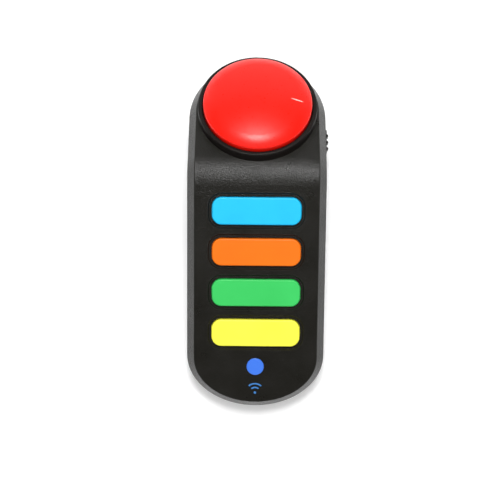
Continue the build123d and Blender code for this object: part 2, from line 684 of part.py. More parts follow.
switch_ribs = [
    tile(
        switch_side.offset(rib_back),
        (recess_centre[0] + s * SWITCH_BOARD_LENGTH / 2, 0),
        (SWITCH_RIB_THICKNESS, SWITCH_HEIGHT + 3),
        0,
        CAVITY_HALF + 1 - rib_back,
    )
    for s in LEFT_AND_RIGHT
]
switch_board_block = tile(
    switch_side.offset(SWITCH_BOARD_BACK),
    recess_centre,
    (SWITCH_BOARD_LENGTH, SWITCH_HEIGHT + 4),
    0,
    BOARD_THICKNESS,
)
foot_recesses = discs(ground, foot_spots, FOOT_RADIUS + FIT, BASE_Z - 1, BASE_Z + FOOT_RECESS)

with BuildPart() as tongue:
    add(tongue_outside)
    add(tongue_inside, mode=Mode.SUBTRACT)

with BuildPart() as bottom_shell:
    add(base_body)
    add(base_cavity, mode=Mode.SUBTRACT)
    add(under_parting, mode=Mode.INTERSECT)
    add(tongue.part)
    add(bottom_post_rods)
    add(base_body, mode=Mode.INTERSECT)
    add(tub_outside)
    add(opening, mode=Mode.SUBTRACT)
    add(tub_inside, mode=Mode.SUBTRACT)
    add(latch_opening, mode=Mode.SUBTRACT)
    add(finger_scoop, mode=Mode.SUBTRACT)
    add(hinge_windows, mode=Mode.SUBTRACT)
    add(tab_slots, mode=Mode.SUBTRACT)
    add(switch_ribs)
    add(switch_board_block, mode=Mode.SUBTRACT)
    add(knob_recess, mode=Mode.SUBTRACT)
    add(knob_slot, mode=Mode.SUBTRACT)
    add(counterbores, mode=Mode.SUBTRACT)
    add(clearance_holes, mode=Mode.SUBTRACT)
    add(foot_recesses, mode=Mode.SUBTRACT)
finish(bottom_shell, "bottom_shell")

with BuildPart() as rubber_feet:
    with BuildSketch(ground):
        with Locations(*foot_spots):
            Circle(FOOT_RADIUS)
    extrude(amount=FOOT_PROUD + FOOT_RECESS)
    fillet(rubber_feet.edges().group_by(Axis.Z)[0], FOOT_FILLET)
finish(rubber_feet, "rubber_feet")

# --- Collar round the dome, with its bosses for the chassis ---------------------------------------
with BuildPart() as buzzer_collar:
    with BuildSketch(head_section):
        with BuildLine():
            Polyline(
                (COLLAR_BORE, COLLAR_HEIGHT),
                (COLLAR_RADIUS - COLLAR_DRAFT, COLLAR_HEIGHT),
                (COLLAR_RADIUS, -COLLAR_SEAT),
                (SPIGOT_RADIUS, -COLLAR_SEAT),
                (SPIGOT_RADIUS, -SPIGOT_DEPTH),
                (SPIGOT_RADIUS - SPIGOT_THICKNESS, -SPIGOT_DEPTH),
                (SPIGOT_RADIUS - SPIGOT_THICKNESS, LEDGE_TOP - LEDGE_THICKNESS),
                (LEDGE_RADIUS, LEDGE_TOP - LEDGE_THICKNESS),
                (LEDGE_RADIUS, LEDGE_TOP),
                (COLLAR_BORE, LEDGE_TOP),
                close=True,
            )
        make_face()
    revolve(axis=head_axis)
    rims = buzzer_collar.edges().filter_by(GeomType.CIRCLE)
    fillet(rims.sort_by(head_axis)[-2:], COLLAR_EDGE_FILLET)
    with BuildSketch(head.offset(-WALL - FIT)):
        with PolarLocations(SPIGOT_RADIUS + HOOK_REACH - HOOK_ROOT / 2, HOOK_COUNT, start_angle=45):
            Rectangle(HOOK_ROOT, HOOK_WIDTH)
    extrude(amount=-HOOK_HEIGHT)
    with BuildSketch(head.offset(CHASSIS_TOP)):
        with Locations(*ring_spots(BOSS_CIRCLE, 90)):
            Circle(BOSS_RADIUS)
    extrude(amount=LEDGE_TOP - LEDGE_THICKNESS / 2 - CHASSIS_TOP)
    with BuildSketch(head.offset(CHASSIS_TOP)):
        with Locations(*ring_spots(BOSS_CIRCLE, 90)):
            Circle(SMALL_SCREW_RADIUS + PILOT_GAP)
    extrude(amount=6, mode=Mode.SUBTRACT)
finish(buzzer_collar, "buzzer_collar")

# --- Chassis plate under the dome -----------------------------------------------------------------
window_reach = LEG_THICKNESS + LEG_ROOM
with BuildPart() as head_chassis:
    with BuildSketch(head.offset(CHASSIS_BOTTOM)):
        Circle(CHASSIS_RADIUS)
        with PolarLocations(LEG_RADIUS + LEG_ROOM / 2 - window_reach / 2, 3, start_angle=30):
            Rectangle(window_reach, LEG_WIDTH + 2 * SLIDE_FIT, mode=Mode.SUBTRACT)
        with Locations((0, HEAD_PLUG_Y)):
            Rectangle(PLUG_SIZE[0] + 2, PLUG_SIZE[1] + 2, mode=Mode.SUBTRACT)
        with Locations(*ring_spots(BOSS_CIRCLE, 90)):
            Circle(SMALL_SCREW_RADIUS + FIT, mode=Mode.SUBTRACT)
        with Locations(*ring_spots(HEAD_SCREW_CIRCLE, 90, 2)):
            Circle(SMALL_SCREW_RADIUS + PILOT_GAP, mode=Mode.SUBTRACT)
    extrude(amount=CHASSIS_THICKNESS)
    with BuildSketch(head.offset(CHASSIS_TOP)):
        with Locations(*ring_spots(SPRING_CIRCLE, 0)):
            Circle(SPRING_RADIUS - SPRING_WIRE / 2 - FIT)
    extrude(amount=SPRING_POST)
finish(head_chassis, "head_chassis")

# --- Dome: a cap and skirt, with snap legs, spring posts and a socket for its plunger -------------
claw_top = CHASSIS_BOTTOM - TOUCH_GAP
leg_bottom = claw_top - CLAW_LEAD_IN
with BuildPart() as dome_works:
    with BuildSketch(head.offset(leg_bottom)):
        with PolarLocations(LEG_RADIUS - LEG_THICKNESS / 2, 3, start_angle=30):
            Rectangle(LEG_THICKNESS, LEG_WIDTH)
    extrude(amount=DOME_CROWN - leg_bottom)
    with BuildSketch(head.offset(claw_top)):
        with PolarLocations(LEG_RADIUS + CLAW_REACH / 2 - SLIDE_FIT, 3, start_angle=30):
            Rectangle(CLAW_REACH, LEG_WIDTH)
    extrude(amount=-CLAW_HEIGHT)
    with BuildSketch(head.offset(SPRING_TOP)):
        with Locations(*ring_spots(SPRING_CIRCLE, 0)):
            Circle(SPRING_RADIUS + SPRING_WIRE)
    extrude(amount=DOME_CROWN - SPRING_TOP)
    with BuildSketch(head.offset(SPRING_TOP - SPRING_POST)):
        with Locations(*ring_spots(SPRING_CIRCLE, 0)):
            Circle(SPRING_RADIUS - SPRING_WIRE / 2 - FIT)
    extrude(amount=SPRING_POST + DOME_WALL / 4)
    with BuildSketch(head.offset(DOME_CEILING - STEM_SOCKET_DEPTH)):
        Circle(STEM_RADIUS + STEM_SOCKET_WALL)
        Circle(STEM_RADIUS, mode=Mode.SUBTRACT)
    extrude(amount=STEM_SOCKET_DEPTH + DOME_WALL)
    add(dome_solid(DOME_WALL / 2, DOME_RADIUS - DOME_WALL, leg_bottom), mode=Mode.INTERSECT)

with BuildPart() as buzzer_dome:
    add(dome_solid(0, DOME_RADIUS, SKIRT_BOTTOM))
    add(dome_solid(DOME_WALL, DOME_RADIUS - DOME_WALL, SKIRT_BOTTOM), mode=Mode.SUBTRACT)
    circles = buzzer_dome.edges().filter_by(GeomType.CIRCLE)
    outer_circles = circles.filter_by(lambda e: abs(e.radius - DOME_RADIUS) < FIT)
    fillet(outer_circles.sort_by(head_axis)[-1], DOME_EDGE_FILLET)
    add(dome_works.part)
finish(buzzer_dome, "buzzer_dome")

with BuildPart() as dome_plunger:
    with BuildSketch(head.offset(STEM_BOTTOM)):
        Circle(STEM_RADIUS)
    extrude(amount=DOME_CEILING - STEM_END_GAP - STEM_BOTTOM)
    with BuildSketch(head.offset(DIFFUSER_HEIGHT)):
        Circle(HEAD_BOARD_RADIUS - 0.8)
    extrude(amount=DIFFUSER_THICKNESS)
    rims = dome_plunger.edges().filter_by(GeomType.CIRCLE)
    fillet(rims.sort_by(lambda e: e.radius)[-2:], DIFFUSER_THICKNESS / 3)
finish(dome_plunger, "dome_plunger")

spring = coil(SPRING_RADIUS, SPRING_WIRE, SPRING_HEIGHT, SPRING_TURNS)
dome_springs = gather(
    *[
        placed(spring, standing(head, x, y, CHASSIS_TOP))
        for x, y in ring_spots(SPRING_CIRCLE, 0)
    ]
)
finish(dome_springs, "dome_springs")

# --- Round board under the dome, with its contact and lamps ---------------------------------------
lamp_spots = ring_spots(LAMP_CIRCLE, 0, LAMP_COUNT)
with BuildPart() as head_board:
    with BuildSketch(head.offset(CHASSIS_TOP)):
        Circle(HEAD_BOARD_RADIUS)
        with Locations(*ring_spots(HEAD_SCREW_CIRCLE, 90, 2)):
            Circle(SMALL_SCREW_RADIUS + FIT, mode=Mode.SUBTRACT)
    extrude(amount=BOARD_THICKNESS)
finish(head_board, "head_board")

with BuildPart() as buzzer_contact:
    with BuildSketch(head_section):
        with BuildLine():
            Polyline(
                (0, HEAD_BOARD_TOP + CONTACT_HEIGHT),
                (2.8, HEAD_BOARD_TOP + CONTACT_HEIGHT),
                (3.6, HEAD_BOARD_TOP + 0.8),
                (5.5, HEAD_BOARD_TOP + 0.6),
                (5.5, HEAD_BOARD_TOP),
                (2.6, HEAD_BOARD_TOP),
                (2.0, HEAD_BOARD_TOP + 1.2),
                (0, HEAD_BOARD_TOP + 1.2),
                close=True,
            )
        make_face()
    revolve(axis=head_axis)
finish(buzzer_contact, "buzzer_contact")

with BuildPart() as buzzer_lamps:
    with BuildSketch(head.offset(HEAD_BOARD_TOP)):
        with Locations(*lamp_spots):
            Circle(LAMP_RADIUS)
    extrude(amount=LAMP_HEIGHT)
    fillet(buzzer_lamps.faces().sort_by(head_axis)[-LAMP_COUNT:].edges(), LAMP_RADIUS * 0.6)
finish(buzzer_lamps, "buzzer_lamps")

# --- Answer buttons, each with its contact pills --------------------------------------------------
for name, place in zip(BUTTON_NAMES, BUTTON_PLACES):
    with BuildPart() as button:
        with BuildSketch(handle.offset(FLANGE_BOTTOM)):
            with Locations((0, place)):
                RectangleRounded(
                    BUTTON_LENGTH + 2 * FLANGE_REACH,
                    BUTTON_WIDTH + 2 * FLANGE_REACH,
                    BUTTON_CORNER + FLANGE_REACH,
                )
        extrude(amount=FLANGE_THICKNESS)
        with BuildSketch(handle.offset(FLANGE_TOP)):
            with Locations((0, place)):
                RectangleRounded(BUTTON_LENGTH, BUTTON_WIDTH, BUTTON_CORNER)
        extrude(amount=BUTTON_PROUD - FLANGE_TOP)
        fillet(button.faces().sort_by(handle_up)[-1].edges(), BUTTON_FILLET)
        with BuildSketch(handle.offset(FLANGE_BOTTOM)):
            with Locations((0, place)):
                RectangleRounded(
                    BUTTON_LENGTH - 2 * BUTTON_WALL,
                    BUTTON_WIDTH - 2 * BUTTON_WALL,
                    BUTTON_CORNER - BUTTON_WALL,
                )
        extrude(amount=BUTTON_PROUD - BUTTON_WALL - FLANGE_BOTTOM, mode=Mode.SUBTRACT)
        with BuildSketch(handle.offset(KEY_TOP)):
            with Locations((-POST_X, place), (POST_X, place)):
                Circle(BUTTON_POST_RADIUS)
            with Locations((0, place)):
                Rectangle(2 * POST_X, BUTTON_POST_RADIUS / 2)
        extrude(amount=BUTTON_PROUD - BUTTON_WALL / 2 - KEY_TOP)
    finish(button, f"{name}_button")
    pill_spots = [(-POST_X, place), (POST_X, place)]
    pills = discs(handle, pill_spots, PILL_RADIUS, KEY_CEILING - PILL_THICKNESS, KEY_CEILING)
    finish(gather(pills), f"{name}_contacts")

# --- Rubber keypad: one sheet with a hollow key under each button ---------------------------------
sheet_half = BUTTON_WIDTH / 2
sheet_length = BUTTON_PITCH * (len(BUTTON_NAMES) - 1) + 2 * sheet_half
sheet_middle = (BUTTON_PLACES[0] + BUTTON_PLACES[-1]) / 2
key_length = BUTTON_LENGTH - 2 * KEY_END_MARGIN
key_width = BUTTON_WIDTH - 2 * KEY_SIDE_MARGIN
with BuildPart() as keypad:
    with BuildSketch(handle.offset(BOARD_TOP)):
        with Locations((0, sheet_middle)):
            RectangleRounded(2 * BOARD_BOSS_X + 4.4, sheet_length, 2)
        with Locations(*BOARD_BOSSES):
            Circle(BOARD_BOSS_RADIUS + FIT, mode=Mode.SUBTRACT)
    extrude(amount=SHEET_THICKNESS)
    for place in BUTTON_PLACES:
        for height, grow in ((BOARD_TOP + SHEET_THICKNESS / 2, 3.6), (KEY_TOP - 0.8, 0)):
            with BuildSketch(handle.offset(height)):
                with Locations((0, place)):
                    RectangleRounded(key_length + grow, key_width + grow, 1.2 + grow / 2)
        loft()
        with BuildSketch(handle.offset(KEY_TOP - 0.8)):
            with Locations((0, place)):
                RectangleRounded(key_length, key_width, 1.2)
        extrude(amount=0.8)
        for height, grow in ((BOARD_TOP, 2.6), (KEY_CEILING, 0.2)):
            with BuildSketch(handle.offset(height)):
                with Locations((0, place)):
                    RectangleRounded(
                        key_length - 2 * KEY_WALL + grow, key_width - 2 * KEY_WALL + grow, 0.8 + grow / 2
                    )
        loft(mode=Mode.SUBTRACT)
finish(keypad, "keypad")

# --- Main board and what is on it -----------------------------------------------------------------
tail_posts = posts(POST_RADIUS + 0.4, KNEE_Z, 0)
with BuildPart() as main_board:
    with BuildSketch(handle.offset(BOARD_BOTTOM)):
        with Locations((0, -(BOARD_HEAD_END + BOARD_TAIL_END) / 2)):
            RectangleRounded(2 * BOARD_HALF, BOARD_TAIL_END - BOARD_HEAD_END, 5)
        with Locations(*BOARD_BOSSES):
            Circle(SMALL_SCREW_RADIUS + FIT, mode=Mode.SUBTRACT)
    extrude(amount=BOARD_THICKNESS)
    add(tail_posts, mode=Mode.SUBTRACT)
finish(main_board, "main_board")

under_board = handle.offset(BOARD_BOTTOM)
chip_x, chip_y = CHIP_SPOT
chip = tile(under_board, CHIP_SPOT, (CHIP_SIZE, CHIP_SIZE), -CHIP_HEIGHT, 0)
pins = [
    tile(under_board, (chip_x + s * (CHIP_SIZE / 2 + 0.5), chip_y + i * PIN_PITCH), (1.0, 0.45), -0.5, 0)
    for s in LEFT_AND_RIGHT
    for i in range(-3, 4)
]
with BuildPart() as main_chip:
    add(chip)
    add(pins)
finish(main_chip, "main_chip")
finish(gather(tile(under_board, RADIO_SPOT, RADIO_SIZE, -RADIO_THICKNESS, 0, 0.5)), "radio_module")
with BuildPart() as radio_shield:
    with BuildSketch(under_board.offset(-RADIO_THICKNESS)):
        with Locations((RADIO_SPOT[0] - 2, RADIO_SPOT[1])):
            RectangleRounded(*SHIELD_SIZE, 0.6)
    extrude(amount=-SHIELD_HEIGHT)
    fillet(radio_shield.faces().sort_by(handle_up)[0].edges(), 0.35)
finish(radio_shield, "radio_shield")
with BuildPart() as capacitor:
    with BuildSketch(under_board):
        with Locations(CAPACITOR_SPOT):
            Circle(CAPACITOR_RADIUS)
    extrude(amount=-CAPACITOR_HEIGHT)
    fillet(capacitor.faces().sort_by(handle_up)[0].edges(), 0.5)
finish(capacitor, "capacitor")
with BuildPart() as status_lamp:
    with BuildSketch(handle.offset(BOARD_TOP)):
        with Locations((0, -KNEE_TO_LENS)):
            Circle(LAMP_RADIUS)
    extrude(amount=1.9)
    fillet(status_lamp.faces().sort_by(handle_up)[-1].edges(), 0.8)
finish(status_lamp, "status_lamp")
with BuildPart() as status_lens:
    with BuildSketch(handle.offset(-WALL - LENS_FLANGE)):
        with Locations((0, -KNEE_TO_LENS)):
            Circle(LENS_RADIUS + LENS_FLANGE)
    extrude(amount=LENS_FLANGE)
    with BuildSketch(handle.offset(-2 * WALL)):
        with Locations((0, -KNEE_TO_LENS)):
            Circle(LENS_RADIUS)
    extrude(amount=2 * WALL + LENS_PROUD)
    fillet(status_lens.faces().sort_by(handle_up)[-1].edges(), LENS_PROUD * 0.8)
finish(status_lens, "status_lens")

# --- Plugs and the ribbon between the two boards --------------------------------------------------
head_plug = tile(head.offset(CHASSIS_TOP), (0, HEAD_PLUG_Y), PLUG_SIZE, -PLUG_HEIGHT, 0)
main_plug = tile(under_board, (0, MAIN_PLUG_Y), PLUG_SIZE, -PLUG_HEIGHT, 0)
finish(gather(head_plug, main_plug), "board_plugs")
ribbon_start = head.offset(CHASSIS_TOP - PLUG_HEIGHT)
ribbon_end = under_board.offset(-PLUG_HEIGHT)
ribbon_points = [
    ribbon_start.from_local_coords((0, HEAD_PLUG_Y, 0)),
    ribbon_start.from_local_coords((0, HEAD_PLUG_Y, -3)),
    ribbon_end.from_local_coords((0, MAIN_PLUG_Y, -3.5)),
    ribbon_end.from_local_coords((0, MAIN_PLUG_Y, 0)),
]
with BuildPart() as ribbon:
    with BuildSketch(side):
        with BuildLine():
            FilletPolyline(*[(p.Y, p.Z) for p in ribbon_points], radius=2 * RIBBON_THICKNESS)
        trace(line_width=RIBBON_THICKNESS)
    extrude(amount=RIBBON_WIDTH / 2, both=True)
finish(ribbon, "ribbon")

# --- Power switch ---------------------------------------------------------------------------------
plate_bottom = SHELL_HALF - KNOB_RECESS + FIT
neck_bottom = SWITCH_X + SLIDE_FIT
with BuildPart() as switch_knob:
    with BuildSketch(switch_side.offset(plate_bottom)):
        RectangleRounded(KNOB_LENGTH, KNOB_HEIGHT, KNOB_HEIGHT / 4)
    extrude(amount=HALF_WIDTH + KNOB_PLATE_PROUD - plate_bottom)
    fillet(switch_knob.faces().sort_by(Axis.X)[-1].edges(), 0.4)
    with BuildSketch(switch_side.offset(HALF_WIDTH + KNOB_PLATE_PROUD - 0.1)):
        with Locations(*[(i * RIB_PITCH, 0) for i in (-1, 0, 1)]):
            Rectangle(RIB_WIDTH, KNOB_HEIGHT - 0.6)
    extrude(amount=KNOB_PROUD - KNOB_PLATE_PROUD + 0.1, taper=RIB_TAPER)
    with BuildSketch(switch_side.offset(neck_bottom)):
        Rectangle(NECK_LENGTH, NECK_HEIGHT)
    extrude(amount=plate_bottom + 0.1 - neck_bottom)
    with BuildSketch(switch_side.offset(neck_bottom)):
        Rectangle(SLIDER_SIZE, SLIDER_SIZE)
    extrude(amount=SLIDER_REACH - SLIDE_FIT, mode=Mode.SUBTRACT)
finish(switch_knob, "switch_knob")

slider_bottom = SWITCH_X - SLIDER_SIZE
slider_size = (SLIDER_SIZE, SLIDER_SIZE)
slider = tile(switch_side.offset(slider_bottom), (0, 0), slider_size, 0, SLIDER_SIZE + SLIDER_REACH)
finish(gather(slider), "switch_slider")
with BuildPart() as switch_body:
    with BuildSketch(switch_side.offset(SWITCH_BOARD_X)):
        with Locations(recess_centre):
            Rectangle(SWITCH_LENGTH, SWITCH_HEIGHT)
    extrude(amount=SWITCH_DEPTH)
    with BuildSketch(switch_side.offset(SWITCH_X)):
        with Locations(recess_centre):
            Rectangle(SLIDER_SIZE + KNOB_TRAVEL + 2 * FIT, SLIDER_SIZE + 2 * FIT)
    extrude(amount=-SLIDER_SIZE - 2 * FIT, mode=Mode.SUBTRACT)
finish(switch_body, "switch_body")
switch_board = tile(
    switch_side.offset(SWITCH_BOARD_BACK),
    recess_centre,
    (SWITCH_BOARD_LENGTH - FIT, SWITCH_HEIGHT + 2),
    0,
    BOARD_THICKNESS,
)
finish(gather(switch_board), "switch_board")

lead_x = min(rib_back - WIRE_RADIUS - FIT, BOARD_HALF - LEAD_MARGIN)
lead_start = switch_side.from_local_coords((*recess_centre, 0))
switch_leads = []
for shift in LEFT_AND_RIGHT:
    start = lead_start + Vector(0, 0.3 * shift, 0.9 * shift)
    end = under_board.from_local_coords((0, MAIN_PLUG_Y + 0.5 + 1.2 * shift, 0))
    riser_y = TUB_HEAD_Y + 2.5 + 1.2 * shift
    points = [
        start,
        Vector(0, riser_y, start.Z),
        Vector(0, riser_y, lead_start.Z + LEAD_RISE + 1.2 * shift),
        end - handle.z_dir * 4,
        end,
    ]
    lead = wire(lead_x, points, 1.6)
    solder_plane = Plane(origin=(MIDDLE_X + lead_x, start.Y, start.Z), z_dir=(1, 0, 0))
    solder = discs(solder_plane, [(0, 0)], SOLDER_RADIUS, 0, SWITCH_BOARD_BACK - lead_x)
    with BuildPart() as switch_lead:
        add(lead)
        add(solder)
    switch_leads.append(switch_lead.part)
finish(gather(*switch_leads), "switch_leads")

# --- Cells and their contacts ---------------------------------------------------------------------
cell_ends = {-1: BAY_HEAD_Y - PLATE_THICKNESS, 1: BAY_TAIL_Y + PLATE_THICKNESS}
for number, s in enumerate(LEFT_AND_RIGHT, start=1):
    positive = Vector(MIDDLE_X + s * CELL_PITCH / 2, cell_ends[s], CELL_Z)
    with BuildPart() as cell:
        with BuildSketch(Plane(origin=positive, x_dir=(1, 0, 0), z_dir=(0, s, 0))):
            Circle(NUB_RADIUS)
        extrude(amount=2 * NUB_HEIGHT)
        shoulder = positive + Vector(0, NUB_HEIGHT * s, 0)
        with BuildSketch(Plane(origin=shoulder, x_dir=(1, 0, 0), z_dir=(0, s, 0))):
            Circle(CELL_RADIUS)
        extrude(amount=CELL_LENGTH - NUB_HEIGHT)
        rims = cell.edges().filter_by(GeomType.CIRCLE)
        fillet(rims.sort_by(lambda e: e.radius)[-2:], 0.5)
    finish(cell, f"cell_{number}")

plate_z = (CELL_Z - PLATE_HALF, CELL_Z + PLATE_HALF)
terminals = []
for s in LEFT_AND_RIGHT:
    x = s * CELL_PITCH / 2
    terminal_y = (BAY_HEAD_Y - PLATE_THICKNESS, BAY_HEAD_Y)
    contact = box((x - PLATE_HALF, x + PLATE_HALF), terminal_y, plate_z)
    tab = box((x - TAB_HALF, x + TAB_HALF), terminal_y, (plate_z[1] - 1, BAY_TOP + TAB_RISE))
    with BuildPart() as terminal:
        add(contact)
        add(tab)
    terminals.append(terminal.part)
finish(gather(*terminals), "battery_terminals")
bridge_half = CELL_PITCH / 2 + PLATE_HALF
bridge = box((-bridge_half, bridge_half), (BAY_TAIL_Y, BAY_TAIL_Y + PLATE_THICKNESS), plate_z)
finish(gather(bridge), "battery_bridge")
battery_coil = coil(3.0, 0.8, CELL_SPRING_LENGTH, CELL_SPRING_TURNS)
tail_coil_plane = Plane(
    origin=(MIDDLE_X - CELL_PITCH / 2, BAY_TAIL_Y + PLATE_THICKNESS, CELL_Z),
    x_dir=(1, 0, 0),
    z_dir=(0, 1, 0),
)
head_coil_plane = Plane(
    origin=(MIDDLE_X + CELL_PITCH / 2, BAY_HEAD_Y - PLATE_THICKNESS, CELL_Z),
    x_dir=(1, 0, 0),
    z_dir=(0, -1, 0),
)
battery_springs = gather(placed(battery_coil, tail_coil_plane), placed(battery_coil, head_coil_plane))
finish(battery_springs, "battery_springs")
battery_leads = []
for s in LEFT_AND_RIGHT:
    end = under_board.from_local_coords((0, MAIN_PLUG_Y - 5, 0))
    points = [
        Vector(0, BAY_HEAD_Y + WIRE_RADIUS, TUB_TOP + 0.2),
        Vector(0, BAY_HEAD_Y + WIRE_RADIUS, TUB_TOP + 4.5),
        end - handle.z_dir * 6,
        end,
    ]
    battery_leads.append(wire(s * CELL_PITCH / 2, points, 1.6))
finish(gather(*battery_leads), "battery_leads")

# --- Cover of the bay, with hinge tabs and a sprung latch -----------------------------------------
cover_half = OPENING_HALF - COVER_GAP
cover_tail = OPENING_TAIL_Y + COVER_GAP
latch_root = TUB_TAIL_Y - LATCH_ROOT_GAP
latch_half = LATCH_WIDTH / 2
tab_top = COVER_Z + FIT + HINGE_TAB_THICKNESS
plate = box((-cover_half, cover_half), (cover_tail, HINGE_Y), (BASE_Z, COVER_Z))
tongue_plate = box((-latch_half, latch_half), (latch_root, cover_tail + 1), (BASE_Z, COVER_Z))
hinge_tabs = []
for s in LEFT_AND_RIGHT:
    x_range = (s * HINGE_TAB_X - HINGE_TAB_WIDTH / 2, s * HINGE_TAB_X + HINGE_TAB_WIDTH / 2)
    tab_tip = BAY_HEAD_Y + HINGE_TAB_REACH
    hinge_tabs.append(box(x_range, (HINGE_Y - 1, HINGE_Y), (COVER_Z - 0.5, tab_top)))
    hinge_tabs.append(box(x_range, (HINGE_Y - 1, tab_tip), (COVER_Z + FIT, tab_top)))
grips = [
    box((-GRIP_HALF, GRIP_HALF), (y, y + GRIP_WIDTH), (BASE_Z - 1, BASE_Z + GRIP_DEPTH))
    for y in (latch_root + 3 * GRIP_PITCH + i * GRIP_PITCH for i in range(3))
]
with BuildPart() as battery_cover:
    add(plate)
    add(tongue_plate)
    add(hinge_tabs)
    add(grips, mode=Mode.SUBTRACT)
finish(battery_cover, "battery_cover")

latch_top = COVER_Z + LATCH_HEIGHT
inner_y = latch_root + LATCH_THICKNESS / 2
outer_y = LATCH_TAIL_Y + LATCH_THICKNESS / 2 + 0.2
catch_z = FLOOR_Z + FIT
with BuildPart() as cover_latch:
    with BuildSketch(side):
        with BuildLine():
            inner_leg = Line((inner_y, COVER_Z), (inner_y, latch_top))
            bow = ThreePointArc(
                inner_leg @ 1,
                ((inner_y + outer_y) / 2, latch_top + (inner_y - outer_y) / 2),
                (outer_y, latch_top),
            )
            Line(bow @ 1, (outer_y, BASE_Z + FIT))
        trace(line_width=LATCH_THICKNESS)
        with Locations((outer_y - LATCH_NOSE, catch_z + 0.55)):
            Rectangle(LATCH_THICKNESS, 1.1)
    extrude(amount=latch_half - LATCH_THICKNESS / 2, both=True)
finish(cover_latch, "cover_latch")

# --- Screws ---------------------------------------------------------------------------------------
case_screw = pan_screw(CASE_SCREW_LENGTH, CASE_SCREW_RADIUS, CASE_SCREW_HEAD)
seat = POST_JOINT + POST_SEAT
screw_planes = [Plane(origin=(p.X, p.Y, p.Z - seat)) for p in case_screw_spots]
case_screws = gather(*[placed(case_screw, plane) for plane in screw_planes])
finish(case_screws, "case_screws")


def small_screws(plane, spots, length, label):
    """Small pan-head screws whose heads seat on a plane, pointing along its normal."""
    screw = pan_screw(length, SMALL_SCREW_RADIUS, SMALL_SCREW_HEAD)
    finish(gather(*[placed(screw, standing(plane, x, y)) for x, y in spots]), label)


small_screws(under_board, BOARD_BOSSES, BOARD_SCREW_LENGTH, "board_screws")
boss_spots = ring_spots(BOSS_CIRCLE, 90)
small_screws(head.offset(CHASSIS_BOTTOM), boss_spots, CHASSIS_SCREW_LENGTH, "chassis_screws")
board_top = Plane(
    origin=head.from_local_coords((0, 0, HEAD_BOARD_TOP)), x_dir=(1, 0, 0), z_dir=-head.z_dir
)
head_board_spots = ring_spots(HEAD_SCREW_CIRCLE, 90, 2)
small_screws(board_top, head_board_spots, HEAD_BOARD_SCREW_LENGTH, "head_board_screws")
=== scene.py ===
"""Looks of a hand-held quiz buzzer: grained casing, red dome, four bar keys and what is inside."""

import json
import logging
import math
from collections.abc import Sequence
from dataclasses import dataclass, field, replace
from enum import Enum

import bmesh
import bpy
from mathutils import Matrix, Vector


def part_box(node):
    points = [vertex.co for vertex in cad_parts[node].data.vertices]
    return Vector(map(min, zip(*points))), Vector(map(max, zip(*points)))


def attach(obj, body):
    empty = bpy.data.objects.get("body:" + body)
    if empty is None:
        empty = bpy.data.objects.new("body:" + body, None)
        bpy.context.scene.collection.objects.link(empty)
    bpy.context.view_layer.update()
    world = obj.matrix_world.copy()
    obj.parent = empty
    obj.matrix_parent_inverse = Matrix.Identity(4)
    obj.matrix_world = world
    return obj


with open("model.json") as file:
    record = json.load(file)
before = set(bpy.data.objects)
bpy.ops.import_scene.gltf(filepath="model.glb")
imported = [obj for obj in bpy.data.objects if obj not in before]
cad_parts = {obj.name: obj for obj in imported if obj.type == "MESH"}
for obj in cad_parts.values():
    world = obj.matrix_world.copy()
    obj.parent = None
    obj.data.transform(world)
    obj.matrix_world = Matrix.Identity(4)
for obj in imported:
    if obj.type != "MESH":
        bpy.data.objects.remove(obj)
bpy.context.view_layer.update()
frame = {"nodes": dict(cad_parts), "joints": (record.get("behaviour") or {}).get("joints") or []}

log = logging.getLogger("quiz_buzzer")
MM = 0.001
NODES: dict[str, bpy.types.Object] = frame["nodes"]
JOINTS: dict[str, dict] = {joint["name"]: joint for joint in frame["joints"]}

Colour = tuple[float, float, float]


# --- Places ---------------------------------------------------------------------------------------


def span(node: str) -> tuple[Vector, Vector]:
    """Lowest and highest corner of a CAD node at rest."""
    low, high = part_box(node)
    return Vector(low), Vector(high)


def middle(node: str) -> Vector:
    """Middle of a CAD node's box."""
    low, high = span(node)
    return (low + high) / 2


@dataclass(frozen=True)
class Place:
    """A flat working plane with its own right, up and normal directions."""

    origin: Vector
    normal: Vector

    @property
    def right(self) -> Vector:
        """Towards the casing's switch side."""
        return Vector((1, 0, 0))

    @property
    def up(self) -> Vector:
        """Along the plane, towards the head."""
        return self.normal.cross(self.right).normalized()

    def at(self, x: float, y: float, height: float = 0.0) -> Vector:
        """A point on or over the plane.

        Args:
            x: Metres to the right.
            y: Metres towards the head.
            height: Metres over the plane.

        Returns:
            The point in the object's frame.
        """
        return self.origin + self.right * x + self.up * y + self.normal * height

    def matrix(self, x: float = 0.0, y: float = 0.0, height: float = 0.0) -> Matrix:
        """A transform that carries the XY plane onto this plane at a point."""
        turn = Matrix((self.right, self.up, self.normal)).transposed().to_4x4()
        return Matrix.Translation(self.at(x, y, height)) @ turn


def joint_normal(name: str) -> Vector:
    """Outward normal of the face that a pressed part sinks into."""
    return -Vector(JOINTS[name]["axis"]).normalized()


HANDLE_NORMAL = joint_normal("blue_press")
HEAD_NORMAL = joint_normal("buzzer_press")
MIDDLE_X = middle("top_shell").x
DOME_EDGE_HEIGHT = 6.1 * MM
DOME_RISE = 5.0 * MM
BUTTON_PROUD = 1.0 * MM
COVER_THICKNESS = 2.0 * MM


def surface_place(node: str, normal: Vector, height: float) -> Place:
    """The plane under a node whose highest point along the plane's normal stands at a known height.

    Args:
        node: CAD node that stands on the plane.
        normal: The plane's outward normal.
        height: How high the node's top lies over the plane.

    Returns:
        The plane, with its origin straight below the node's middle.
    """
    points = [normal.dot(v.co) for v in NODES[node].data.vertices]
    centre = middle(node)
    lift = max(points) - height - normal.dot(centre)
    return Place(centre + normal * lift, normal)


HANDLE = surface_place("orange_button", HANDLE_NORMAL, BUTTON_PROUD)


# --- Node helpers ---------------------------------------------------------------------------------


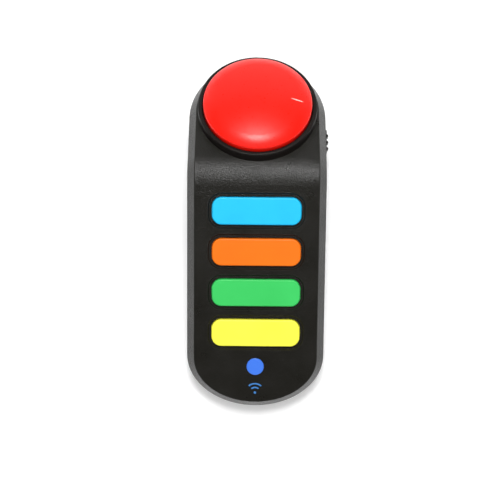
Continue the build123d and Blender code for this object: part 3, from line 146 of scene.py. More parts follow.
class Shader:
    """A material under construction: a Principled shader and short ways to feed it."""

    def __init__(self, name: str) -> None:
        """Starts a material with one Principled shader and object coordinates."""
        self.material = bpy.data.materials.new(name)
        self.material.use_nodes = True
        self.tree = self.material.node_tree
        self.surface = self.tree.nodes["Principled BSDF"]
        self.coordinates = self.tree.nodes.new("ShaderNodeTexCoord")

    def set(self, **values: float | Colour) -> None:
        """Sets shader sockets by name, with underscores for spaces."""
        for key, value in values.items():
            socket = self.surface.inputs[key.replace("_", " ")]
            if isinstance(value, tuple):
                socket.default_value = (*value, 1.0)
            else:
                socket.default_value = value

    def link(self, source: bpy.types.NodeSocket, target: bpy.types.NodeSocket) -> None:
        """Joins two sockets."""
        self.tree.links.new(source, target)

    def mapped(self, scale: Sequence[float]) -> bpy.types.NodeSocket:
        """Object coordinates stretched by a scale per axis."""
        mapping = self.tree.nodes.new("ShaderNodeMapping")
        mapping.inputs["Scale"].default_value = tuple(scale)
        self.link(self.coordinates.outputs["Object"], mapping.inputs["Vector"])
        return mapping.outputs["Vector"]

    def noise(
        self,
        size: float,
        detail: float = 4.0,
        roughness: float = 0.6,
        stretch: Sequence[float] = (1, 1, 1),
    ) -> bpy.types.NodeSocket:
        """Noise whose blotches are about one size across.

        Args:
            size: Width of a blotch, in metres.
            detail: Octaves of finer noise.
            roughness: Strength of the finer octaves.
            stretch: Scale per axis, to draw the noise out.

        Returns:
            The noise's factor socket.
        """
        texture = self.tree.nodes.new("ShaderNodeTexNoise")
        texture.inputs["Scale"].default_value = 1 / size
        texture.inputs["Detail"].default_value = detail
        texture.inputs["Roughness"].default_value = roughness
        self.link(self.mapped(stretch), texture.inputs["Vector"])
        return texture.outputs["Fac"]

    def edges(self, width: float) -> bpy.types.NodeSocket:
        """Finds worn edges: 0 on flats, rising to 1 where the surface turns within a width."""
        bevel = self.tree.nodes.new("ShaderNodeBevel")
        bevel.samples = 4
        bevel.inputs["Radius"].default_value = width
        geometry = self.tree.nodes.new("ShaderNodeNewGeometry")
        dot = self.tree.nodes.new("ShaderNodeVectorMath")
        dot.operation = "DOT_PRODUCT"
        self.link(bevel.outputs["Normal"], dot.inputs[0])
        self.link(geometry.outputs["Normal"], dot.inputs[1])
        return self.spread(dot.outputs["Value"], 1, 0, (0.88, 0.995))

    def streak(self, place: Matrix, size: Sequence[float]) -> bpy.types.NodeSocket:
        """A soft ellipsoid at one spot: 1 at its middle, 0 from its edge on.

        Args:
            place: Where it is and how it is turned.
            size: Its half lengths along its own axes.

        Returns:
            The factor socket.
        """
        mapping = self.tree.nodes.new("ShaderNodeMapping")
        mapping.vector_type = "TEXTURE"
        mapping.inputs["Location"].default_value = place.to_translation()
        mapping.inputs["Rotation"].default_value = place.to_euler()
        mapping.inputs["Scale"].default_value = tuple(size)
        self.link(self.coordinates.outputs["Object"], mapping.inputs["Vector"])
        ball = self.tree.nodes.new("ShaderNodeTexGradient")
        ball.gradient_type = "SPHERICAL"
        self.link(mapping.outputs["Vector"], ball.inputs["Vector"])
        return ball.outputs["Fac"]

    def away(self) -> bpy.types.NodeSocket:
        """The distance from the object's origin.

        Returns:
            The distance in metres.
        """
        node = self.tree.nodes.new("ShaderNodeVectorMath")
        node.operation = "LENGTH"
        self.link(self.coordinates.outputs["Object"], node.inputs[0])
        return node.outputs["Value"]

    def spread(
        self,
        value: bpy.types.NodeSocket,
        low: float,
        high: float,
        source: tuple[float, float] = (0.3, 0.7),
    ) -> bpy.types.NodeSocket:
        """Maps a factor from its own range onto another."""
        node = self.tree.nodes.new("ShaderNodeMapRange")
        node.inputs["From Min"].default_value, node.inputs["From Max"].default_value = source
        node.inputs["To Min"].default_value, node.inputs["To Max"].default_value = low, high
        self.link(value, node.inputs["Value"])
        return node.outputs["Result"]

    def blend(
        self, factor: bpy.types.NodeSocket, first: Colour, second: Colour
    ) -> bpy.types.NodeSocket:
        """Mixes two colours by a factor from 0 to 1."""
        node = self.tree.nodes.new("ShaderNodeMix")
        node.data_type = "RGBA"
        self.link(factor, node.inputs["Factor"])
        node.inputs["A"].default_value = (*first, 1)
        node.inputs["B"].default_value = (*second, 1)
        return node.outputs["Result"]

    def blend_over(
        self, factor: bpy.types.NodeSocket, below: bpy.types.NodeSocket, over: Colour
    ) -> bpy.types.NodeSocket:
        """Lays a colour over another socket's colour by a factor."""
        node = self.tree.nodes.new("ShaderNodeMix")
        node.data_type = "RGBA"
        self.link(factor, node.inputs["Factor"])
        self.link(below, node.inputs["A"])
        node.inputs["B"].default_value = (*over, 1)
        return node.outputs["Result"]

    def bump(
        self,
        height: bpy.types.NodeSocket,
        depth: float,
        strength: float = 1.0,
        under: bpy.types.NodeSocket | None = None,
    ) -> bpy.types.NodeSocket:
        """Turns a height into a bump, over another bump if one is given.

        Args:
            height: Height factor.
            depth: Metres from lowest to highest.
            strength: Share of the effect.
            under: Normal socket of a bump below this one.

        Returns:
            The bump's normal socket.
        """
        node = self.tree.nodes.new("ShaderNodeBump")
        node.inputs["Distance"].default_value = depth
        node.inputs["Strength"].default_value = strength
        self.link(height, node.inputs["Height"])
        if under:
            self.link(under, node.inputs["Normal"])
        return node.outputs["Normal"]

    def colour_from(self, socket: bpy.types.NodeSocket) -> None:
        """Feeds the base colour."""
        self.link(socket, self.surface.inputs["Base Color"])

    def roughness_from(self, socket: bpy.types.NodeSocket) -> None:
        """Feeds the roughness."""
        self.link(socket, self.surface.inputs["Roughness"])

    def normal_from(self, socket: bpy.types.NodeSocket) -> None:
        """Feeds the normal."""
        self.link(socket, self.surface.inputs["Normal"])


# --- Finishes -------------------------------------------------------------------------------------


@dataclass(frozen=True)
class GrainedPlastic:
    """Moulded plastic with a fine spark-eroded grain, faint handling marks and rubbed edges."""

    name: str
    slot: str
    colour: Colour
    worn: Colour
    roughness: float = 0.5
    grain: float = 0.45 * MM
    grain_depth: float = 0.02 * MM
    specular: float = 0.5
    rubbed: Colour = (0.05, 0.049, 0.046)
    rub: float = 0.5
    edge: float = 0.35 * MM
    blotch: float = 14 * MM
    swell: float = 26 * MM
    swell_depth: float = 0.05 * MM

    def material(self) -> bpy.types.Material:
        """Builds the material."""
        s = Shader(self.name)
        s.set(Specular_IOR_Level=self.specular)
        grain = s.noise(self.grain, 2.0, 0.7)
        blotches = s.noise(self.blotch, 5.0)
        colour = s.blend(s.spread(blotches, 0, 1, (0.35, 0.75)), self.colour, self.worn)
        worn = s.spread(s.edges(self.edge), 0, self.rub, (0, 1))
        s.colour_from(s.blend_over(worn, colour, self.rubbed))
        s.roughness_from(s.spread(blotches, self.roughness - 0.05, self.roughness + 0.06))
        fine = s.bump(s.spread(grain, 0, 1), self.grain_depth)
        s.normal_from(s.bump(s.noise(self.swell, 2.0), self.swell_depth, 0.4, fine))
        return s.material


@dataclass(frozen=True)
class GlossPlastic:
    """Smooth moulded plastic with slight flow variation, fine pits and paler rubbed edges."""

    name: str
    slot: str
    colour: Colour
    deep: Colour
    roughness: float = 0.25
    specular: float = 0.5
    rub: float = 0.0
    pit: float = 1.1 * MM
    pit_depth: float = 0.006 * MM
    edge: float = 0.3 * MM
    flow: float = 18 * MM

    def shader(self) -> Shader:
        """Builds the material and keeps it open for more."""
        s = Shader(self.name)
        s.set(Specular_IOR_Level=self.specular)
        flow = s.noise(self.flow, 3.0)
        colour = s.blend(s.spread(flow, 0, 1), self.colour, self.deep)
        if self.rub:
            paler = tuple(min(1.0, c * 1.2 + 0.08) for c in self.colour)
            worn = s.spread(s.edges(self.edge), 0, self.rub, (0, 1))
            colour = s.blend_over(worn, colour, paler)
        s.colour_from(colour)
        pits = s.noise(self.pit, 3.0)
        s.roughness_from(s.spread(pits, self.roughness - 0.04, self.roughness + 0.06))
        s.normal_from(s.bump(s.spread(pits, 0, 1), self.pit_depth))
        return s

    def material(self) -> bpy.types.Material:
        """Builds the material."""
        return self.shader().material


@dataclass(frozen=True)
class ScuffedPlastic(GlossPlastic):
    """Smooth plastic that a knock has left with one short pale scuff."""

    scuff_place: tuple[float, float, float] = (0, 0, 0)
    scuff_turn: float = 0.0
    scuff_half: tuple[float, float, float] = (3.8 * MM, 0.4 * MM, 2 * MM)
    scuff_break: float = 0.5 * MM
    scuff_colour: Colour = (1.0, 0.72, 0.66)

    def material(self) -> bpy.types.Material:
        """Builds the material."""
        s = self.shader()
        socket = s.surface.inputs["Base Color"]
        clean = socket.links[0].from_socket
        turn = Matrix.Rotation(self.scuff_turn, 4, "Z")
        place = Matrix.Translation(Vector(self.scuff_place)) @ turn
        scuff = s.streak(place, self.scuff_half)
        broken = s.noise(self.scuff_break, 4.0, 0.7)
        edge = s.tree.nodes.new("ShaderNodeMath")
        edge.operation = "MULTIPLY"
        s.link(s.spread(scuff, 0, 1, (0.15, 0.5)), edge.inputs[0])
        s.link(s.spread(broken, 0.45, 1, (0.4, 0.6)), edge.inputs[1])
        s.colour_from(s.blend_over(edge.outputs["Value"], clean, self.scuff_colour))
        return s.material


@dataclass(frozen=True)
class PlatedMetal:
    """Bright plated or drawn metal with fine brushing and dull spots."""

    name: str
    slot: str
    colour: Colour
    dull: Colour
    roughness: float = 0.28
    metallic: float = 1.0

    def material(self) -> bpy.types.Material:
        """Builds the material."""
        s = Shader(self.name)
        s.set(Metallic=self.metallic)
        spots = s.noise(3 * MM, 4.0)
        s.colour_from(s.blend(s.spread(spots, 0, 1), self.colour, self.dull))
        brushing = s.noise(0.3 * MM, 2.0, 0.6, (1, 0.15, 1))
        s.roughness_from(s.spread(spots, self.roughness, self.roughness + 0.14))
        s.normal_from(s.bump(s.spread(brushing, 0, 1), 0.004 * MM))
        return s.material


@dataclass(frozen=True)
class SoftRubber:
    """Matt rubber with a dusty bloom."""

    name: str
    slot: str
    colour: Colour
    bloom: Colour
    roughness: float = 0.75

    def material(self) -> bpy.types.Material:
        """Builds the material."""
        s = Shader(self.name)
        s.set(Specular_IOR_Level=0.3)
        dust = s.noise(2.5 * MM, 6.0, 0.7)
        s.colour_from(s.blend(s.spread(dust, 0, 1), self.colour, self.bloom))
        s.roughness_from(s.spread(dust, self.roughness - 0.08, self.roughness + 0.08))
        s.normal_from(s.bump(s.noise(0.35 * MM, 2.0), 0.02 * MM))
        return s.material


@dataclass(frozen=True)
class CircuitBoard:
    """Lacquered board: green resist over copper tracks."""

    name: str
    slot: str
    resist: Colour = (0.012, 0.14, 0.045)
    track: Colour = (0.03, 0.24, 0.08)

    def material(self) -> bpy.types.Material:
        """Builds the material."""
        s = Shader(self.name)
        s.set(Specular_IOR_Level=0.6)
        along = s.noise(2.2 * MM, 0.0, 0.0, (1, 0.06, 0.06))
        tracks = s.spread(along, 0, 1, (0.5, 0.52))
        weave = s.noise(0.8 * MM, 2.0)
        s.colour_from(s.blend(tracks, self.resist, self.track))
        s.roughness_from(s.spread(weave, 0.22, 0.4))
        raised = s.bump(tracks, 0.03 * MM)
        s.normal_from(s.bump(weave, 0.01 * MM, 0.6, raised))
        return s.material


@dataclass(frozen=True)
class LampPlastic:
    """Clear tinted epoxy of a lamp."""

    name: str
    slot: str
    colour: Colour
    glow: float = 0.0

    def material(self) -> bpy.types.Material:
        """Builds the material."""
        s = Shader(self.name)
        s.set(Specular_IOR_Level=0.6, Transmission_Weight=0.3, Emission_Strength=self.glow)
        s.set(Emission_Color=self.colour)
        haze = s.noise(1.2 * MM, 3.0)
        paler = tuple(min(1.0, c * 1.4 + 0.04) for c in self.colour)
        s.colour_from(s.blend(s.spread(haze, 0, 1), self.colour, paler))
        s.roughness_from(s.spread(haze, 0.1, 0.22))
        s.normal_from(s.bump(haze, 0.008 * MM))
        return s.material


class Finish(Enum):
    """Every finish on the object."""

    CASING = GrainedPlastic(
        "casing_grain", "casing_black", (0.0092, 0.0086, 0.0066), (0.0118, 0.0110, 0.0090),
        roughness=0.31, grain=0.6 * MM, grain_depth=0.07 * MM, specular=0.31,
    )
    COLLAR = GrainedPlastic(
        "collar_satin", "collar_black", (0.008, 0.006, 0.005), (0.011, 0.009, 0.008),
        roughness=0.42, grain=0.3 * MM, grain_depth=0.006 * MM, specular=0.18,
        rubbed=(0.02, 0.018, 0.016), rub=0.9,
    )
    INSIDE = GrainedPlastic(
        "inner_black", "casing_black", (0.012, 0.012, 0.012), (0.018, 0.018, 0.018),
        roughness=0.6, grain=0.4 * MM, grain_depth=0.01 * MM,
    )
    DOME = ScuffedPlastic(
        "dome_gloss", "dome_red", (0.93, 0.010, 0.003), (0.89, 0.008, 0.002),
        roughness=0.31, specular=0.36, rub=0.0, pit=0.9 * MM, pit_depth=0.009 * MM,
    )
    DIFFUSER = GlossPlastic(
        "diffuser_milk", "diffuser_white", (0.85, 0.85, 0.83), (0.8, 0.8, 0.77),
        roughness=0.4,
    )
    BLUE = GlossPlastic(
        "key_blue", "button_blue", (0.015, 0.53, 0.88), (0.012, 0.49, 0.86),
        roughness=0.42, specular=0.3, rub=0.4,
    )
    ORANGE = GlossPlastic(
        "key_orange", "button_orange", (0.88, 0.175, 0.002), (0.86, 0.16, 0.002),
        roughness=0.42, specular=0.3, rub=0.4,
    )
    GREEN = GlossPlastic(
        "key_green", "button_green", (0.044, 0.585, 0.122), (0.038, 0.545, 0.108),
        roughness=0.42, specular=0.3, rub=0.4,
    )
    YELLOW = GlossPlastic(
        "key_yellow", "button_yellow", (0.99, 0.97, 0.075), (0.98, 0.94, 0.06),
        roughness=0.42, specular=0.35, rub=0.4,
    )
    LENS = GlossPlastic(
        "lens_tint", "lens_blue", (0.054, 0.195, 0.80), (0.048, 0.18, 0.77),
        roughness=0.2, specular=0.5,
    )
    MARK = GlossPlastic(
        "printed_blue", "lens_blue", (0.05, 0.22, 0.58), (0.04, 0.19, 0.52),
        roughness=0.45,
    )
    PAINT = GlossPlastic(
        "printed_grey", "plug_white", (0.5, 0.5, 0.48), (0.42, 0.42, 0.4),
        roughness=0.5,
    )
    KEYPAD = SoftRubber("keypad_grey", "grey_rubber", (0.3, 0.3, 0.31), (0.36, 0.36, 0.37))
    CARBON = SoftRubber(
        "carbon_black", "carbon", (0.02, 0.02, 0.02), (0.035, 0.035, 0.035),
        roughness=0.6,
    )
    FOOT = SoftRubber("foot_black", "foot_rubber", (0.022, 0.022, 0.022), (0.05, 0.05, 0.048))
    BOARD = CircuitBoard("board_lacquer", "board_green")
    CHIP = GrainedPlastic(
        "chip_epoxy", "chip_black", (0.014, 0.014, 0.015), (0.02, 0.02, 0.02),
        roughness=0.55, grain=0.2 * MM, grain_depth=0.008 * MM,
    )
    RED_LAMP = LampPlastic("lamp_red_epoxy", "lamp_red", (0.7, 0.02, 0.015))
    BLUE_LAMP = LampPlastic("lamp_blue_epoxy", "lamp_blue", (0.2, 0.35, 0.9), glow=0.4)
    PLATED = PlatedMetal("nickel", "plated_steel", (0.72, 0.71, 0.68), (0.5, 0.49, 0.46))
    SPRING = PlatedMetal(
        "spring_wire", "spring_steel", (0.62, 0.62, 0.62), (0.45, 0.45, 0.45),
        roughness=0.22,
    )
    SHIELD = PlatedMetal(
        "tin", "tinned_shield", (0.68, 0.69, 0.7), (0.55, 0.56, 0.57),
        roughness=0.38,
    )
    SOLDER = PlatedMetal(
        "solder", "tinned_shield", (0.75, 0.75, 0.74), (0.6, 0.6, 0.6),
        roughness=0.2,
    )
    CELL = PlatedMetal(
        "cell_steel", "cell_sleeve", (0.7, 0.7, 0.68), (0.55, 0.55, 0.53),
        roughness=0.3,
    )
    WRAP = GlossPlastic(
        "cell_wrap", "cell_sleeve", (0.02, 0.022, 0.026), (0.03, 0.032, 0.036),
        roughness=0.25, specular=0.5, rub=0.3,
    )
    WRAP_BAND = PlatedMetal(
        "cell_band", "cell_sleeve", (0.72, 0.42, 0.2), (0.6, 0.34, 0.16),
        roughness=0.3,
    )
    PLUG = GlossPlastic(
        "plug_nylon", "plug_white", (0.8, 0.77, 0.66), (0.74, 0.7, 0.6),
        roughness=0.4,
    )
    CABLE = SoftRubber(
        "ribbon_grey", "cable_grey", (0.45, 0.45, 0.45), (0.5, 0.5, 0.5),
        roughness=0.5,
    )
    RED_LEAD = SoftRubber(
        "lead_insulation", "lead_red", (0.5, 0.02, 0.015), (0.56, 0.04, 0.03),
        roughness=0.45,
    )


class Palette:
    """Makes each finish's material once, on first use."""

    def __init__(self) -> None:
        """Starts with no materials made."""
        self._made: dict[Finish, bpy.types.Material] = {}

    def get(self, finish: Finish) -> bpy.types.Material:
        """The material of a finish."""
        if finish not in self._made:
            self._made[finish] = finish.value.material()
        return self._made[finish]

    def dress_dome(self, place: Vector, turn: float) -> None:
        """Dresses the dome, with its scuff at a place on its surface."""
        finish = replace(Finish.DOME.value, scuff_place=tuple(place), scuff_turn=turn)
        slots = NODES["buzzer_dome"].data.materials
        slots.clear()
        slots.append(finish.material())

    def dress(self, finish: Finish, *nodes: str) -> None:
        """Puts a finish on CAD nodes."""
        for name in nodes:
            slots = NODES[name].data.materials
            slots.clear()
            slots.append(self.get(finish))


PALETTE = Palette()


# --- Mesh helpers ---------------------------------------------------------------------------------


def make_piece(name: str, mesh: bmesh.types.BMesh, finish: Finish, body: str) -> bpy.types.Object:
    """Turns a finished bmesh into a smooth piece that rides on a body.

    Args:
        name: The piece's name.
        mesh: Its shape, already in place; freed here.
        finish: What it is made of.
        body: The CAD body it moves with.

    Returns:
        The new object.
    """
    bmesh.ops.remove_doubles(mesh, verts=mesh.verts, dist=0.001 * MM)
    bmesh.ops.recalc_face_normals(mesh, faces=mesh.faces)
    data = bpy.data.meshes.new(name)
    mesh.to_mesh(data)
    mesh.free()
    data.materials.append(PALETTE.get(finish))
    piece = bpy.data.objects.new(name, data)
    bpy.context.scene.collection.objects.link(piece)
    smooth(data)
    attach(piece, body)
    log.info("made %s on %s", name, body)
    return piece


def smooth(data: bpy.types.Mesh, limit: float = 35.0) -> None:
    """Shades a mesh smooth, apart from edges sharper than a limit in degrees."""
    data.shade_smooth()
    data.set_sharp_from_angle(angle=math.radians(limit))


def slab(mesh: bmesh.types.BMesh, faces: Sequence[bmesh.types.BMFace], lift: Vector) -> None:
    """Raises flat faces into a solid slab."""
    raised = bmesh.ops.extrude_face_region(mesh, geom=list(faces), use_keep_orig=True)
    verts = [v for v in raised["geom"] if isinstance(v, bmesh.types.BMVert)]
    bmesh.ops.translate(mesh, verts=verts, vec=lift)


def add_bar(mesh: bmesh.types.BMesh, place: Matrix, size: Sequence[float], round_by: float) -> None:
    """Adds a flat bar with rounded corners, standing on a place's XY plane.

    Args:
        mesh: The mesh that it joins.
        place: Its middle and directions.
        size: Its length, width and height.
        round_by: Radius of its upright corners.
    """
    made = bmesh.ops.create_cube(mesh, size=1.0, matrix=place @ Matrix.Diagonal((*size, 1)))
    bmesh.ops.translate(mesh, verts=made["verts"], vec=place.to_3x3() @ Vector((0, 0, size[2] / 2)))
    normal = (place.to_3x3() @ Vector((0, 0, 1))).normalized()
    own = {e for v in made["verts"] for e in v.link_edges}
    upright = [
        e for e in own if abs((e.verts[0].co - e.verts[1].co).normalized().dot(normal)) > 0.9
    ]
    bmesh.ops.bevel(
        mesh,
        geom=upright,
        offset=round_by,
        offset_type="OFFSET",
        affect="EDGES",
        segments=5,
        profile=0.5,
        material=-1,
    )


def add_arc(
    mesh: bmesh.types.BMesh,
    place: Matrix,
    radius: float,
    width: float,
    height: float,
    turn: tuple[float, float] = (0, 360),
) -> None:
    """Adds a flat arc or ring about a place's Z axis.

    Args:
        mesh: The mesh that it joins.
        place: Its centre and directions.
        radius: To the middle of its width.
        width: Across its band.
        height: Over the place's XY plane.
        turn: First and last angle in degrees; a whole turn makes a ring.
    """
    start, end = (math.radians(t) for t in turn)
    whole = abs(end - start) > 2 * math.pi - 0.001
    frame_at = place @ Matrix.Rotation(start, 4, "Z")
    corners = [(radius - width / 2, 0, 0), (radius + width / 2, 0, 0)]
    corners += [(radius + width / 2, 0, height), (radius - width / 2, 0, height)]
    face = mesh.faces.new([mesh.verts.new(frame_at @ Vector(c)) for c in corners])
    bmesh.ops.spin(
        mesh,
        geom=[face, *face.edges, *face.verts],
        cent=place.to_translation(),
        axis=place.to_3x3() @ Vector((0, 0, 1)),
        angle=end - start,
        steps=48 if whole else 20,
        use_merge=whole,
        use_duplicate=False,
    )


def add_disc(
    mesh: bmesh.types.BMesh, place: Matrix, radius: float, height: float, sides: int = 32
) -> None:
    """Adds a flat disc, or a polygon of few sides, standing on a place's XY plane."""
    made = bmesh.ops.create_circle(mesh, cap_ends=True, segments=sides, radius=radius, matrix=place)
    faces = {f for v in made["verts"] for f in v.link_faces}
    slab(mesh, list(faces), place.to_3x3() @ Vector((0, 0, height)))


# --- Studio ---------------------------------------------------------------------------------------


@dataclass
class Studio:
    """Floor, lights and camera of a product picture on white."""

    tilt: float = 7.0
    roll: float = 0.54
    distance: float = 443 * MM
    focal_pixels: float = 1047.0
    picture: float = 500.0
    sensor: float = 36.0
    knee_right: float = 7.2
    knee_up: float = 80.0
    floor_size: float = 20.0
    sky: float = 0.1
    key_lean: float = 16.0
    key_distance: float = 0.95
    key_size: float = 0.26
    key_radiance: float = 30.0
    fill_height: float = 1.7
    fill_size: float = 2.6
    fill_radiance: float = 1.05
    fill_tailward: float = 0.5
    floor_glow: float = 0.14
    far_glow: float = 1.0
    glow_reach: tuple[float, float] = (0.5, 2.2)
    wall_distance: float = 1.5
    wall_height: float = 1.05
    wall_head: float = 0.7
    wall_tail: float = 0.3
    wall_side: float = 0.3

    def build(self) -> None:
        """Makes the whole studio."""
        self.make_camera()
        self.make_floor()
        self.make_lights()

    def make_camera(self) -> None:
        """Hangs the camera nearly straight above, leaning a little towards the tail."""
        tilt, roll = math.radians(self.tilt), math.radians(self.roll)
        look = Vector((0, math.sin(tilt), -math.cos(tilt)))
        flat_up = Vector((0, math.cos(tilt), math.sin(tilt)))
        right = Vector((1, 0, 0)) * math.cos(roll) + flat_up * math.sin(roll)
        up = flat_up * math.cos(roll) - Vector((1, 0, 0)) * math.sin(roll)
        metres_per_pixel = self.distance / self.focal_pixels
        knee = knee_corner()
        aside = right * self.knee_right + up * self.knee_up
        data = bpy.data.cameras.new("camera")
        data.sensor_width = self.sensor
        data.lens = self.focal_pixels / self.picture * self.sensor
        data.dof.use_dof = False
        camera = bpy.data.objects.new("camera", data)
        camera.matrix_world = Matrix.Translation(
            knee - look * self.distance - aside * metres_per_pixel
        ) @ Matrix((right, up, -look)).transposed().to_4x4()
        bpy.context.scene.collection.objects.link(camera)
        bpy.context.scene.camera = camera

    def make_floor(self) -> None:
        """Lays a wide pale floor under the feet."""
        mesh = bmesh.new()
        bmesh.ops.create_grid(mesh, x_segments=1, y_segments=1, size=self.floor_size / 2)
        data = bpy.data.meshes.new("floor")
        mesh.to_mesh(data)
        mesh.free()
        floor = bpy.data.objects.new("floor", data)
        bpy.context.scene.collection.objects.link(floor)
        s = Shader("floor_white")
        s.set(Roughness=0.9, Specular_IOR_Level=0.1)
        s.set(Emission_Color=(1.0, 1.0, 1.0))
        glow = s.spread(s.away(), self.floor_glow, self.far_glow, self.glow_reach)
        s.link(glow, s.surface.inputs["Emission Strength"])
        s.colour_from(s.blend(s.noise(0.4, 2.0), (0.93, 0.93, 0.93), (0.95, 0.95, 0.95)))
        data.materials.append(s.material)

    def make_lights(self) -> None:
        """Hangs a small soft box, a wide fill and dim walls all round, under a dim sky."""
        world = bpy.data.worlds.new("studio")
        world.use_nodes = True
        world.node_tree.nodes["Background"].inputs["Color"].default_value = (1, 1, 1, 1)
        world.node_tree.nodes["Background"].inputs["Strength"].default_value = self.sky
        bpy.context.scene.world = world
        lean = math.radians(self.key_lean)
        key = Vector((0, math.sin(lean), math.cos(lean))) * self.key_distance
        self.panel("key", key, (self.key_size, self.key_size), self.key_radiance)
        above = Vector((0, -self.fill_tailward, self.fill_height))
        fill = self.panel("fill", above, (self.fill_size, self.fill_size), self.fill_radiance)
        fill.visible_glossy = False
        half = self.wall_height / 2
        for name, x, y, radiance in (
            ("wall_head", 0, 1, self.wall_head),
            ("wall_tail", 0, -1, self.wall_tail),
            ("wall_left", -1, 0, self.wall_side),
            ("wall_right", 1, 0, self.wall_side),
        ):
            facing = Vector((0, 0, half))
            place = Vector((x, y, 0)) * self.wall_distance + facing
            self.panel(name, place, (2 * self.wall_distance, self.wall_height), radiance, facing)
        bpy.context.scene.view_settings.view_transform = "Standard"

    def panel(
        self,
        name: str,
        place: Vector,
        size: tuple[float, float],
        radiance: float,
        target: Vector = Vector(),
    ) -> bpy.types.Object:
        """A rectangular area light of a given brightness.

        Args:
            name: The light's name.
            place: Its middle.
            size: Its width and height.
            radiance: How bright it looks; 1 is paper white.
            target: What it faces.

        Returns:
            The light.
        """
        data = bpy.data.lights.new(name, "AREA")
        data.shape = "RECTANGLE"
        data.size, data.size_y = size
        data.energy = radiance * math.pi * size[0] * size[1]
        light = bpy.data.objects.new(name, data)
        light.location = place
        light.rotation_mode = "QUATERNION"
        light.rotation_quaternion = (target - place).to_track_quat("-Z", "Y")
        bpy.context.scene.collection.objects.link(light)
        return light


def knee_corner() -> Vector:
    """Where the planes of the handle face and the head face meet."""
    dome = surface_place("buzzer_dome", HEAD_NORMAL, DOME_EDGE_HEIGHT + DOME_RISE)
    across = HANDLE.normal.cross(dome.normal)
    a, b = HANDLE.normal.dot(HANDLE.origin), dome.normal.dot(dome.origin)
    sum_of_both = a * dome.normal.cross(across) + b * across.cross(HANDLE.normal)
    point = sum_of_both / across.length_squared
    return Vector((MIDDLE_X, point.y, point.z))


# --- Sub-assemblies -------------------------------------------------------------------------------


@dataclass
class SubAssembly:
    """A group of CAD pieces that are dressed together, with any pieces that are added to them."""

    def dress(self) -> None:
        """Puts the finishes on the CAD pieces."""
        raise NotImplementedError

    def build(self) -> None:
        """Adds nothing, where the CAD pieces are complete."""


